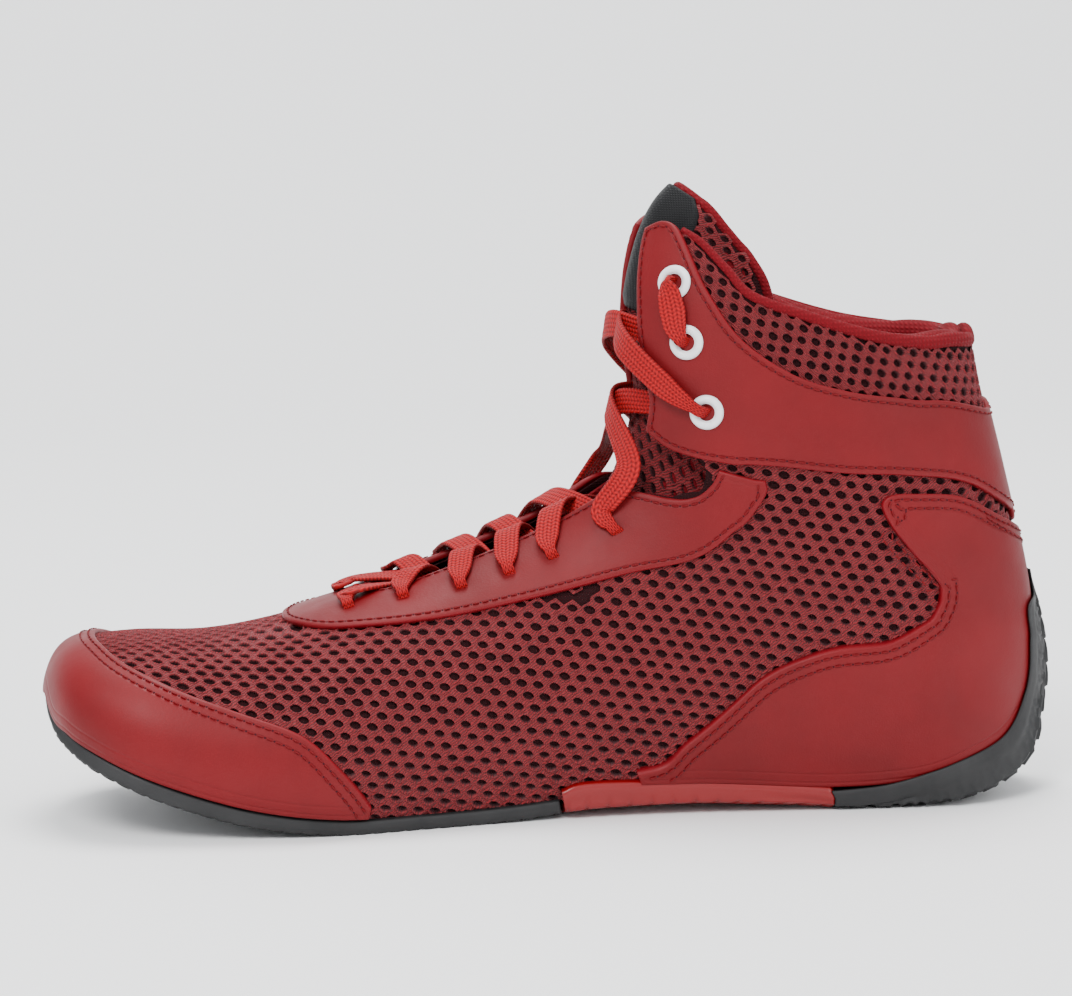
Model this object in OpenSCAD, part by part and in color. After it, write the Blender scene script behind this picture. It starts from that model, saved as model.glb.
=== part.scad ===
// High-top boxing boot, right foot.
// The toe points to -X, the inner (arch) side faces -Y, and the sole stands on Z = 0.
// X = 0 is half way along the boot, and Y = 0 is half way across the ball of the foot.

/* [Boot] */
// Overall length of the boot
boot_length = 296; // [270:1:310]
// Height of the tongue's top above the floor
boot_height = 182; // [165:1:200]
// Width of the upper across the ball of the foot
ball_width = 100; // [90:1:110]

/* [Upper] */
// Thickness of the mesh
mesh_t = 1.4; // [1:0.1:2]
// Thickness of the coated leather overlays
overlay_t = 1.4; // [1:0.1:1.8]
// Depth from the outside of the mesh to the outside of the lining
lining_depth = 3.3; // [3.2:0.1:3.5]
// Thickness of the lining
lining_t = 0.8; // [0.5:0.1:1]
// Thickness of the collar foam
collar_foam_t = 4.5; // [3:0.5:5]

/* [Lace] */
// Width of the flat lace
lace_w = 8; // [6:0.5:9]
// Thickness of the flat lace
lace_t = 1.4; // [1:0.1:1.8]
// Diameter of the punched lace holes
lace_hole_d = 5.4; // [4.8:0.1:5.6]
// Outer diameter of an eyelet's flange
eyelet_d = 10; // [9:0.5:11]
// Bore of an eyelet
eyelet_bore_d = 5; // [4.8:0.1:5.2]

/* [Sole] */
// Thickness of the insole board
board_t = 1.5; // [1:0.1:2]
// Thickness of the loose foam insole
sockliner_t = 3.5; // [3:0.5:4]

/* [Hidden] */

// Clearance between two pieces of the same tessellation, and between two nested layers
gap = 0.1;
layer_gap = 0.6;
red = [0.72, 0.14, 0.19];
dark_red = [0.5, 0.08, 0.14];
bright_red = [0.85, 0.17, 0.2];
lining_red = [0.8, 0.14, 0.26];
black = [0.16, 0.16, 0.17];
board_tan = [0.8, 0.74, 0.6];
foam_grey = [0.75, 0.75, 0.72];

// ---- The shape of the boot: one section per station, from the toe round the instep and up the shaft.
// Each row: lower line x, z; ridge line x, z; inner half width; outer half width; y of the middle;
// angle at which the side meets the sole (or the back of the heel).
STATIONS = [
    [0, 36, 0, 36, 0, 0, -9, -22],
    [4, 29.5, 3, 46, 21, 21, -9, -22],
    [13, 24, 10, 50.5, 33, 35, -8, -22],
    [30, 16.5, 25, 52, 41.5, 45.5, -7, -22],
    [55, 8.5, 47, 51.5, 46.5, 51.3, -4.5, -24],
    [80, 4.5, 69, 55, 48.5, 52.8, -2, -26],
    [105, 4, 92, 62, 45.5, 51, 0, -28],
    [130, 4.5, 115, 70, 41, 49, 1, -30],
    [155, 6, 135, 78.5, 37, 45, 1, -32],
    [185, 7, 149, 87, 35, 41, 0.5, -32],
    [215, 7, 157, 96, 34.5, 38, 0, -32],
    [243, 7, 161, 105, 34.5, 36, 0, -34],
    [265, 9, 163, 113, 35, 35.5, 0, -40],
    [281, 15, 164, 120, 35, 35, 0, -60],
    [287.5, 28, 164.5, 127, 35, 35, 0, -80],
    [289, 42, 165, 133, 35, 35, 0, -80],
    [287.5, 58, 165.5, 140, 35, 35, 0, -80],
    [284, 76, 167, 148, 34.5, 34.5, 0, -80],
    [278.5, 99, 169, 157, 33, 33, 0, -80],
    [273.5, 119, 172, 166, 30.5, 30.5, 0, -80],
    [270, 137, 177, 175, 28, 28, 0, -80],
    [267, 150, 184, 182, 26, 26, 0, -80]
];
DESIGN_LENGTH = 296;
TOE_EDGE = 1.5;
DESIGN_HEIGHT = 182;
DESIGN_WIDTH = 100;
section_fullness = 0.85;
back_crown = 1;
scale_x = boot_length / DESIGN_LENGTH;
scale_y = ball_width / DESIGN_WIDTH;
scale_z = boot_height / DESIGN_HEIGHT;

// The row before the first mirrors the second, so that the toe is round.
TOE_MIRROR = let (r = STATIONS[1]) [r[2], r[3], r[0], r[1], -r[4], -r[5], r[6], r[7]];
LAST = len(STATIONS) - 1;

function clamp(x, low, high) = min(max(x, low), high);
function mix(a, b, t) = a + (b - a) * t;
function unit(v) = v / max(norm(v), 1e-9);
function total(v) = v * [for (x = v) 1];
function key(keys, i) = i < 0 ? 2 * keys[0] - keys[1]
    : i > len(keys) - 1 ? 2 * keys[len(keys) - 1] - keys[len(keys) - 2] : keys[i];

// A smooth curve through four keys, and its slope
function curve(p, t) = 0.5 * (2 * p[1] + (p[2] - p[0]) * t
    + (2 * p[0] - 5 * p[1] + 4 * p[2] - p[3]) * pow(t, 2)
    + (3 * p[1] - p[0] - 3 * p[2] + p[3]) * pow(t, 3));
function curve_slope(p, t) = 0.5 * ((p[2] - p[0])
    + 2 * (2 * p[0] - 5 * p[1] + 4 * p[2] - p[3]) * t
    + 3 * (3 * p[1] - p[0] - 3 * p[2] + p[3]) * pow(t, 2));
function through(keys, x) = let (i = clamp(floor(x), 0, len(keys) - 2))
    curve([for (j = [i - 1:i + 2]) key(keys, j)], x - i);

function station_keys(i) = [for (j = [i - 1:i + 2])
    j < 0 ? TOE_MIRROR : j > LAST ? key(STATIONS, j) : STATIONS[j]];

// A point of the boot. station runs from toe to top; turn runs round the section: 0 is the ridge,
// 1 the edge of the sole on the outer side, 2 the middle of the sole or heel, 3 the edge of the sole
// on the inner side and 4 the ridge again (so -1 is the same as 3); depth is outward from the mesh.
function boot_point(station, turn, depth) =
    let (
        i = clamp(floor(station), 0, LAST - 1),
        keys = station_keys(i),
        row = curve(keys, station - i),
        slope = curve_slope(keys, station - i),
        low_n = unit([slope[1], -slope[0]]),
        ridge_n = unit([-slope[3], slope[2]]),
        low = [row[0], row[1]] + depth * low_n,
        ridge = [row[2], row[3]] + depth * ridge_n,
        t = turn - 4 * floor((turn + 2) / 4),
        side = t < 0 ? -1 : 1,
        half = t < 0 ? row[4] : row[5],
        growth = t < 0 ? slope[4] : slope[5],
        pace = norm([slope[0] + slope[2], slope[1] + slope[3]]) / 2,
        width = half + depth * pace / norm([pace, growth]),
        start = clamp(row[7], -80, 0),
        crown = back_crown * clamp((-start - 40) / 40, 0, 1) / max(norm(ridge - low), 1),
        around = min(abs(t), 1),
        under = max(abs(t) - 1, 0),
        angle = 90 - (90 - start) * around,
        rise = (sin(angle) - sin(start)) / (1 - sin(start)),
        up = under > 0 ? crown * pow(1 - under, 2) : mix(crown, 1, rise),
        out = pow(max(cos(angle), 0), section_fullness) * (1 - under),
        xz = mix(low, ridge, up)
    )
    [
        (xz[0] + TOE_EDGE) * scale_x - boot_length / 2,
        (row[6] + side * width * out) * scale_y,
        xz[1] * scale_z
    ];

// Nothing reaches below the floor, so the sole is flat where it would.
function on_floor(p) = [p[0], p[1], max(p[2], 0)];

function toward_top(station, turn) =
    unit(boot_point(station + 0.02, turn, 0) - boot_point(station - 0.02, turn, 0));
function round_boot(station, turn) =
    unit(boot_point(station, turn + 0.01, 0) - boot_point(station, turn - 0.01, 0));
function outward(station, turn) = unit(cross(toward_top(station, turn), round_boot(station, turn)));

// ---- Closed solids from grids of points
function six_volumes(points, faces) =
    total([for (f = faces) cross(points[f[0]], points[f[1]]) * points[f[2]]]);
function quad(a, b, c, d) = [[a, b, c], [a, c, d]];
module solid(points, faces) {
    turned = six_volumes(points, faces) > 0;
    polyhedron(points, turned ? [for (f = faces) [f[2], f[1], f[0]]] : faces, convexity = 10);
}

// A sheet with two faces, from two grids of the same size
module sheet(outer, inner) {
    m = len(outer) - 1;
    n = len(outer[0]) - 1;
    w = n + 1;
    back = (m + 1) * w;
    faces = concat(
        [for (i = [0:m - 1], j = [0:n - 1], f = quad(i * w + j, i * w + j + 1, (i + 1) * w + j + 1,
            (i + 1) * w + j)) f],
        [for (i = [0:m - 1], j = [0:n - 1], f = quad(i * w + j, (i + 1) * w + j, (i + 1) * w + j + 1,
            i * w + j + 1)) f + [back, back, back]],
        [for (i = [0:m - 1], f = quad(i * w, (i + 1) * w, (i + 1) * w + back, i * w + back)) f],
        [for (i = [0:m - 1], f = quad(i * w + n, i * w + n + back, (i + 1) * w + n + back,
            (i + 1) * w + n)) f],
        [for (j = [0:n - 1], f = quad(j, j + back, j + 1 + back, j + 1)) f],
        [for (j = [0:n - 1], f = quad(m * w + j, m * w + j + 1, m * w + j + 1 + back,
            m * w + j + back)) f]
    );
    solid(concat([for (row = outer) each row], [for (row = inner) each row]), faces);
}

// A panel of the boot between two edges. Each edge is a list of [station, turn] points, paired up.
// steps are the fractions from the first edge to the second; inner and outer are depths that may
// change with the station and the fraction.
function level(depth) = function (station, step) depth;
function even(n) = [for (i = [0:n]) i / n];
module panel(edge_a, edge_b, along, steps, inner, outer) {
    reach = len(edge_a) - 1;
    spots = [for (i = [0:along]) let (a = through(edge_a, i / along * reach),
        b = through(edge_b, i / along * reach)) [for (s = steps) [each mix(a, b, s), s]]];
    sheet([for (row = spots) [for (p = row) on_floor(boot_point(p[0], p[1], outer(p[0], p[2])))]],
        [for (row = spots) [for (p = row) boot_point(p[0], p[1], inner(p[0], p[2]))]]);
}

// An edge continued on the other side of the boot: across the ridge (turn 0) or across the back
// (turn -2); the last point lies on the middle line and isn't repeated.
function across_ridge(edge) = concat(edge,
    [for (i = [len(edge) - 2:-1:0]) [edge[i][0], -edge[i][1]]]);
function across_back(edge) = concat(edge,
    [for (i = [len(edge) - 2:-1:0]) [edge[i][0], -4 - edge[i][1]]]);
function other_side(edge) = [for (p = edge) [p[0], -4 - p[1]]];

// ---- Lines on the boot, each a list of [station, turn], on the inner side
THROAT = [[6.2, 0.09], [7, 0.1], [8.2, 0.125], [9.5, 0.17], [10.4, 0.23], [11.4, 0.34],
    [12.3, 0.37], [13, 0.34], [13.6, 0.24], [15, 0.18], [17, 0.14], [19.6, 0.09]];
throat_front = THROAT[0][0];
// Where the shell ends and the collar starts: [turn, station]
JOIN = [[0, 16], [0.3, 16], [0.5, 16.7], [0.7, 17.6], [1, 18], [2, 18]];
function throat(station) = lookup(station, THROAT);

// The lace holes of the lower rows and the eyelets of the upper rows, [station, turn] each
LACE_HOLES = [[5.75, 0.12], [6.4, 0.18], [7.1, 0.24], [7.75, 0.265], [8.45, 0.28], [9.8, 0.32]];
EYELETS = [[15.05, 0.3], [16.8, 0.255], [18.15, 0.215]];
barrel_wall = 0.6;
barrel_d = eyelet_bore_d + 2 * barrel_wall;

module at_surface(station, turn, height) {
    n = outward(station, turn);
    translate(boot_point(station, turn, 0) + height * n)
        rotate([0, acos(n[2]), atan2(n[1], n[0])]) children();
}
// Holes straight through every layer at these spots, on both sides
module bores(spots, d) {
    every_layer = 24;
    for (spot = spots, side = [-1, 1])
        at_surface(spot[0], side * spot[1], 0)
            cylinder(d = d, h = every_layer, center = true, $fn = 48);
}

// ---- Upper: one shell round the foot, with a slot for the throat
// From stretch_from on, the stations stretch so that the last one, shell_end, follows the line JOIN.
stretch_from = 14.6;
shell_end = 16;
SHELL_STATIONS = [0.12, 0.4, 0.8, 1.3, 1.9, 2.6, 3.4, 4.3, 5.2, throat_front, 7, 8, 9, 10, 10.8, 11.5,
    12.1, 12.6, 13, 13.4, 13.8, 14.2, stretch_from, 15.1, 15.5, shell_end];
SHELL_TURNS = even(11);
module slotted_shell(inner, outer) {
    rows = len(SHELL_STATIONS);
    open_from = search(throat_front, SHELL_STATIONS)[0];
    turns = [for (k = SHELL_STATIONS) let (t = throat(k))
        [each [for (u = SHELL_TURNS) -mix(t, 1, u)], -1.5, -2, -2.5,
            each [for (u = SHELL_TURNS) -4 + mix(1, t, u)]]];
    n = len(turns[0]);
    spots = [for (i = [0:rows - 1]) [for (c = turns[i]) let (k = SHELL_STATIONS[i],
        top = lookup(2 - abs(2 + c), JOIN),
        s = k < stretch_from ? k : stretch_from
            + (k - stretch_from) * (top - stretch_from) / (shell_end - stretch_from)) [s, c]]];
    outside = [for (row = spots) each [for (p = row) boot_point(p[0], p[1], outer)]];
    inside = [for (row = spots) each [for (p = row) boot_point(p[0], p[1], inner)]];
    back = rows * n;
    tip = 2 * back;
    last = (rows - 1) * n;
    grid = [for (i = [0:rows - 2], j = [0:i < open_from ? n - 1 : n - 2])
        [i * n + j, i * n + (j + 1) % n, (i + 1) * n + (j + 1) % n, (i + 1) * n + j]];
    faces = concat(
        [for (q = grid, f = quad(q[0], q[1], q[2], q[3])) f],
        [for (q = grid, f = quad(q[0] + back, q[3] + back, q[2] + back, q[1] + back)) f],
        [for (j = [0:n - 1]) [tip, (j + 1) % n, j]],
        [for (j = [0:n - 1]) [tip + 1, j + back, (j + 1) % n + back]],
        quad(open_from * n, open_from * n + back, open_from * n + n - 1 + back, open_from * n + n - 1),
        [for (i = [open_from:rows - 2], f = quad(i * n, (i + 1) * n, (i + 1) * n + back,
            i * n + back)) f],
        [for (i = [open_from:rows - 2], f = quad(i * n + n - 1, i * n + n - 1 + back,
            (i + 1) * n + n - 1 + back, (i + 1) * n + n - 1)) f],
        [for (j = [0:n - 2], f = quad(last + j, last + j + 1, last + j + 1 + back, last + j + back)) f]
    );
    solid(concat(outside, inside, [boot_point(0, 0, outer), boot_point(0, 0, inner)]), faces);
}

module mesh_upper() {
    color(dark_red) difference() {
        slotted_shell(-mesh_t, 0);
        bores(LACE_HOLES, lace_hole_d);
        bores([EYELETS[0]], barrel_d + 4 * gap);
    }
}

module upper_lining() {
    color(lining_red) difference() {
        slotted_shell(-lining_depth - lining_t, -lining_depth);
        bores(LACE_HOLES, lace_hole_d);
        bores([EYELETS[0]], barrel_d + 4 * gap);
    }
}

// ---- Stiffeners between the mesh and the lining
stiffener_t = 0.6;
stiffener_depth = -mesh_t - layer_gap;
stiffener_inner = level(stiffener_depth - stiffener_t);
stiffener_outer = level(stiffener_depth);
module toe_puff() {
    color(board_tan) panel(
        across_ridge([[3.4, -0.95], [2.2, -0.95], [1.1, -0.95], [0.1, 0]]),
        across_ridge([[3.6, -0.8], [3.1, -0.5], [2.4, -0.25], [2.1, 0]]),
        18, even(4), stiffener_inner, stiffener_outer);
}
module heel_counter() {
    color(board_tan) panel(
        across_back([[10.4, -0.96], [11.8, -0.96], [13, -0.98], [13.8, -1.02], [14, -1.3], [14, -2]]),
        across_back([[11, -0.8], [12.6, -0.72], [14, -0.72], [15.4, -0.84], [16.1, -1.02], [16.2, -2]]),
        40, even(6), stiffener_inner, stiffener_outer);
}

// ---- Overlays stitched to the mesh
overlay_gap = 0.3;
heel_gap = 0.6;
overlay_inner = level(overlay_gap);
overlay_outer = level(overlay_gap + overlay_t);
module toe_cap() {
    color(red) panel(
        across_ridge([[5.35, -0.955], [4.9, -0.955], [4.3, -0.955], [3.7, -0.955], [3.1, -0.955],
            [2.5, -0.955], [1.9, -0.95], [1.2, -0.94], [0.5, -0.9], [0.02, 0]]),
        across_ridge([[5.4, -0.93], [5.3, -0.86], [5.15, -0.78], [4.9, -0.67], [4.6, -0.6],
            [4, -0.52], [3.3, -0.43], [2.7, -0.3], [2.4, -0.14], [2.3, 0]]),
        44, even(7), overlay_inner, overlay_outer);
}

module lace_guard() {
    color(red) difference() {
        panel(
            across_ridge([[14.2, -0.405], [13.4, -0.425], [12.4, -0.455], [11.5, -0.47], [10.6, -0.465],
                [9.4, -0.425], [7.9, -0.38], [6.6, -0.32], [5.6, -0.22], [5.15, -0.12], [4.96, 0]]),
            across_ridge([[13.45, -0.35], [12.9, -0.365], [12.1, -0.375], [11.4, -0.34], [10.4, -0.23],
                [9.5, -0.17], [8.2, -0.125], [7, -0.1], [6.35, -0.09], [6.17, -0.06], [6.12, 0]]),
            48, even(4), overlay_inner, overlay_outer);
        bores(LACE_HOLES, lace_hole_d);
    }
}

module ankle_band() {
    color(red) difference() {
        panel(
            across_back([[12.75, -0.21], [12.8, -0.265], [13.2, -0.31], [13.85, -0.35], [14.5, -0.39],
                [15.2, -0.445], [16, -0.53], [16.8, -0.635], [17.3, -0.76], [17.35, -0.91],
                [17.2, -1.3], [17.15, -2]]),
            across_back([[19.2, -0.075], [19.55, -0.13], [19.55, -0.18], [19.1, -0.235], [18.3, -0.295],
                [17.65, -0.36], [17.5, -0.45], [17.75, -0.55], [18.2, -0.68], [18.6, -0.85],
                [18.8, -1.3], [18.85, -2]]),
            60, even(4), overlay_inner, overlay_outer);
        bores(EYELETS, barrel_d + 4 * gap);
    }
}

module heel_overlay() {
    color(red) panel(
        across_back([[8.5, -0.945], [8.8, -0.945], [9.2, -0.95], [9.7, -0.955], [10.2, -0.965],
            [10.8, -0.97], [11.4, -0.97], [11.9, -0.96], [12.4, -0.955], [12.8, -0.95], [13.1, -0.95],
            [13.4, -0.96], [13.6, -0.97], [13.8, -0.98], [14, -1.03], [14, -1.15], [14, -1.5], [14, -2]]),
        across_back([[8.5, -0.92], [8.8, -0.905], [9.15, -0.85], [9.9, -0.77], [10.6, -0.72],
            [11.5, -0.7], [12.8, -0.695], [13.8, -0.68], [14.6, -0.69], [15, -0.68], [15.2, -0.635],
            [15.5, -0.6], [15.9, -0.59], [16.4, -0.63], [17, -0.74], [17.1, -0.87], [17.1, -1.05],
            [17, -2]]),
        72, even(6), level(heel_gap), level(heel_gap + overlay_t));
}

// ---- Collar above the ankle band
COLLAR_LOW = [[16.1, -0.19], [16.1, -0.25], [16.15, -0.32], [16.3, -0.38], [16.8, -0.5],
    [17.3, -0.62], [17.75, -0.75], [18.1, -0.92], [18.1, -1.4], [18.1, -2]];
COLLAR_TOP = [[19.55, -0.19], [19.45, -0.25], [19.1, -0.32], [18.75, -0.38], [18.9, -0.5],
    [19.1, -0.62], [19.4, -0.75], [19.75, -0.92], [19.9, -1.4], [19.95, -2]];
function shifted(edge, by) = [for (p = edge) [p[0] + by, p[1]]];
function after(edge, first) = [for (i = [first:len(edge) - 1]) edge[i]];

module collar_mesh() {
    color(dark_red) difference() {
        panel(across_back(COLLAR_LOW), across_back(COLLAR_TOP), 54, even(4), level(-mesh_t), level(0));
        bores([EYELETS[1], EYELETS[2]], barrel_d + 4 * gap);
    }
}

foam_outer = -lining_depth - lining_t - layer_gap;
foam_inner = foam_outer - collar_foam_t;
FOAM_LOW = [[14.2, -0.52], [14.4, -0.58], [14.8, -0.69], [15.1, -0.8], [15.5, -0.96], [15.5, -1.4],
    [15.5, -2]];
FOAM_TOP = concat([[18.8, -0.41]], after(COLLAR_TOP, 4));
module collar_foam() {
    color(foam_grey) panel(across_back(FOAM_LOW), across_back(shifted(FOAM_TOP, -0.35)),
        34, even(4), level(foam_inner), level(foam_outer));
}

// The collar lining covers the foam inside and rolls over its top edge.
module collar_lining() {
    cover = foam_inner - 4 * gap;
    roll = 0.75;
    color(lining_red) panel(
        across_back(shifted(FOAM_LOW, -0.2)),
        across_back(shifted(FOAM_TOP, 0.35)),
        34, [0, 0.3, 0.6, 0.9, 0.96, 1],
        function (k, s) cover - (s < 1 ? lining_t : 0),
        function (k, s) s > 0.9 ? -mesh_t - layer_gap - (s < 1 ? 0 : roll) : cover);
}

// ---- Eyelets and the washers that they are set over
barrel_l = 6;
flange_overlap = 0.5;
washer_t = 0.4;
module eyelets() {
    color("white") for (spot = EYELETS, side = [-1, 1])
        at_surface(spot[0], side * spot[1], overlay_gap + overlay_t) rotate_extrude($fn = 64) {
            difference() {
                translate([(eyelet_bore_d + eyelet_d) / 4, 0])
                    circle(d = (eyelet_d - eyelet_bore_d) / 2, $fn = 32);
                translate([0, -eyelet_d]) square([eyelet_d, eyelet_d + gap]);
            }
            translate([eyelet_bore_d / 2, -barrel_l]) square([barrel_wall, barrel_l + flange_overlap]);
        }
}
module eyelet_washers() {
    color("silver") for (spot = EYELETS, side = [-1, 1])
        at_surface(spot[0], side * spot[1], foam_outer - washer_t) difference() {
            cylinder(d = eyelet_d, h = washer_t, $fn = 64);
            translate([0, 0, -washer_t]) cylinder(d = barrel_d + 2 * gap, h = 3 * washer_t, $fn = 48);
        }
}

// ---- Sole
SOLE_THICKNESS = [[0, 0.5], [0.5, 2], [1, 3.6], [2, 5.3], [3, 5.7], [4, 5.6], [5, 5], [6, 4.5],
    [7, 4.7], [8, 4], [9, 4.5], [10, 5.8], [10.5, 7], [11, 7.3], [12, 7.2], [13, 7], [14, 6.8],
    [15, 5.4], [16, 3.6], [16.5, 2.4]];
function sole_t(station) = lookup(station, SOLE_THICKNESS);
// A sole piece, from its edge on the inner side to the same edge on the outer side. The second column
// stands on the corner where the side meets the bottom. inner and outer are depths at a station and a
// column, counted from the nearer edge.
function sole_turns(c) = [c, min(-1, c - 0.01), min(-1.08, c - 0.03), min(-1.22, c - 0.06)];
module sole_panel(edge, along, inner, outer) {
    reach = len(edge) - 1;
    spots = [for (i = [0:along]) let (e = through(edge, i / along * reach), t = sole_turns(e[1]))
        concat([for (j = [0:3]) [e[0], t[j], j]], [[e[0], -2, 4]],
            [for (j = [3:-1:0]) [e[0], -4 - t[j], j]])];
    sheet([for (row = spots) [for (p = row) on_floor(boot_point(p[0], p[1], outer(p[0], p[2])))]],
        [for (row = spots) [for (p = row) boot_point(p[0], p[1], inner(p[0], p[2]))]]);
}

sole_gap = 0.3;
EDGE_SHARES = [0.25, 0.6, 0.9, 1, 1];
FOREFOOT_EDGE = [for (k = [0.15, 0.5, 1, 1.6, 2.3, 3, 4, 5, 6, 7, 7.6]) [k, -0.99]];
module outsole_forefoot() {
    color(black) sole_panel(FOREFOOT_EDGE, 26, function (k, j) sole_gap,
        function (k, j) max(sole_t(k) * EDGE_SHARES[j], sole_gap + 0.4));
}

SHANK_EDGE = [[7.65, -0.955], [7.9, -0.94], [8.5, -0.95], [9.3, -0.965], [10.35, -0.985]];
module shank_bridge() {
    shares = [0.4, 0.65, 0.85, 1, 1];
    color(bright_red) sole_panel(SHANK_EDGE, 12, function (k, j) sole_gap,
        function (k, j) sole_t(k) * shares[j]);
}

HEEL_EDGE = [[10.36, -0.985], [11, -0.975], [11.7, -0.955], [12.5, -0.94], [13.2, -0.935],
    [13.8, -0.93], [14.4, -0.925], [15.1, -0.92], [15.8, -0.94], [16.4, -1.2]];
module outsole_heel() {
    over_overlay = heel_gap + overlay_t + 2 * sole_gap;
    rim_t = 0.4;
    shares = [0, 0.5, 0.85, 1, 1];
    color(black) sole_panel(HEEL_EDGE, 34,
        function (k, j) k < 12.8 && j > 1 ? sole_gap : over_overlay,
        function (k, j) mix(over_overlay + rim_t, max(sole_t(k), over_overlay + rim_t), shares[j]));
}

PLATE_STEPS = [0, 0.1, 0.5, 0.9, 1];
BOARD_EDGE = [for (k = [0.9, 1.4, 2, 3, 4, 5, 6, 7, 8, 9, 10, 11, 11.8, 12.5]) [k, -1]];
board_bottom = -lining_depth - lining_t - layer_gap;
sockliner_bottom = board_bottom - board_t - gap;
module insole_board() {
    color(board_tan) panel(BOARD_EDGE, other_side(BOARD_EDGE), 20, PLATE_STEPS,
        level(board_bottom - board_t), level(board_bottom));
}
module sockliner() {
    edge = [for (k = [1.1, 1.5, 2, 3, 4, 5, 6, 7, 8, 9, 10, 11, 11.8, 12.3]) [k, -1]];
    color(black) panel(edge, other_side(edge), 20, PLATE_STEPS,
        level(sockliner_bottom - sockliner_t), level(sockliner_bottom));
}

// ---- Tongue: it lies under the lace, and its middle is crowned
tongue_front = 5.95;
TONGUE_EDGE = [[tongue_front, -0.18], [7.5, -0.24], [9, -0.3], [10.5, -0.4], [12, -0.46], [13.5, -0.45],
    [15, -0.42], [17, -0.42], [19, -0.4], [19.8, -0.34], [20.4, -0.25], [20.75, -0.13]];
// Depth of the tongue's outside: crowned along the middle, and tucked inside the collar at the sides.
// Each list is [station, mm]; TUCK_SHARE is [turn, share].
TONGUE_LEVEL = [[6, -7.7], [18.5, -7.7], [19.5, -5.5], [21, -3.6]];
TONGUE_CROWN = [[13, 0], [16.3, 3.6], [17, 5.8], [18.5, 6.2], [19.5, 4.5], [21, 3]];
TONGUE_TUCK = [[12.5, 0], [14, 4], [19, 5.4], [19.5, 5.4]];
TUCK_SHARE = [[0.16, 0], [0.3, 1]];
crown_half_turn = 0.13;
function tongue_depth(station, turn) = lookup(station, TONGUE_LEVEL)
    + lookup(station, TONGUE_CROWN) * cos(90 * min(abs(turn) / crown_half_turn, 1))
    - lookup(station, TONGUE_TUCK) * lookup(abs(turn), TUCK_SHARE);
module tongue_panel(edge, along, across, inner, outer) {
    reach = len(edge) - 1;
    spots = [for (i = [0:along]) let (a = through(edge, i / along * reach))
        [for (s = even(across)) [a[0], mix(a[1], -a[1], s)]]];
    sheet(
        [for (row = spots) [for (p = row) boot_point(p[0], p[1],
            outer + tongue_depth(p[0], p[1]))]],
        [for (row = spots) [for (p = row) boot_point(p[0], p[1],
            inner + tongue_depth(p[0], p[1]))]]);
}
tongue_foam_t = 3;
label_t = 0.7;
module tongue_mesh() {
    color(dark_red) tongue_panel(TONGUE_EDGE, 24, 12, -mesh_t, 0);
}
module tongue_foam() {
    color(foam_grey) tongue_panel(TONGUE_EDGE, 24, 12, -mesh_t - gap - tongue_foam_t, -mesh_t - gap);
}
module tongue_lining() {
    top = -mesh_t - 2 * gap - tongue_foam_t;
    color(lining_red) tongue_panel(TONGUE_EDGE, 24, 12, top - lining_t, top);
}
module tongue_label() {
    edge = [[16.6, -0.12], [17.4, -0.13], [19, -0.17], [20.2, -0.18], [20.7, -0.13]];
    color(black) tongue_panel(edge, 12, 12, 3 * gap, 3 * gap + label_t);
}

// ---- Lace: one flat cord. Each stop is [station, turn, depth, face over the boot, face outward from
// the throat, width, thickness]. It comes up through a hole, crosses over the tongue, and goes under the
// other side to the next hole.
clear = 0.35;
over = overlay_gap + overlay_t + lace_t / 2 + clear;
below = foam_outer - lace_t / 2 - clear;
flange_t = (eyelet_d - eyelet_bore_d) / 4;
over_flange = over + flange_t;
below_washer = below - washer_t - clear;
pinched_w = 3.4;
pinched_t = 1.8;
function stop(k, side, c, depth, flip, face_n, face_e, pinch = 0) =
    [k, side * c, depth, flip * face_n, flip * side * face_e,
        mix(lace_w, pinched_w, pinch), mix(lace_t, pinched_t, pinch)];
// Up a hole from the inside, coming from the throat and going back to it; low and high are the depths
// under and over it
function climb(spot, side, flip, low, high) = [
    stop(spot[0], side, spot[1] - 0.05, low, flip, -1, 0, 0.5),
    stop(spot[0], side, spot[1], low + 0.7, flip, 0, 1, 1),
    stop(spot[0], side, spot[1], high - 1.2, flip, 0, 1, 1),
    stop(spot[0], side, spot[1] - 0.015, high + 0.4, flip, 1, 1, 1),
    stop(spot[0] + 0.05, side, spot[1] - 0.07, high + 0.3, flip, 1, 0, 0.2)
];
// From the top of one side, over the tongue, to under the other side; raise keeps the halves apart
function cross_over(from, to, side, flip, raise) =
    let (near = mix(from[0], to[0], 0.3), middle = max(mix(from[0], to[0], 0.5), throat_front + 0.35),
        far = max(mix(from[0], to[0], 0.72), throat_front + 0.3), above_tongue = 4 * clear + 2 * lace_t,
        above_lining = far > shell_end)
    [
        stop(near, side, throat(near) * 0.7, over + 0.8, flip, 1, 0),
        stop(middle, side, 0, max(-1.2, tongue_depth(middle, 0) + above_tongue) + raise, flip, 1, 0),
        stop(far, -side, throat(far) * (above_lining ? 0.98 : 0.7),
            above_lining ? -mesh_t - lace_t : below, flip, 1, 0, 0.3)
    ];
ALL_HOLES = concat(LACE_HOLES, EYELETS);
// Each end is tucked down between the tongue and the side: [station, turn, how much it is pinched]
TAIL = [[17.85, 0.245, 0.4], [17.2, 0.29, 0], [16.4, 0.335, 0], [15.4, 0.36, 0], [14.4, 0.375, 0],
    [13.4, 0.39, 0], [12.5, 0.41, 0], [11.7, 0.42, 0], [11, 0.43, 0.6], [10.8, 0.43, 1]];
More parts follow.
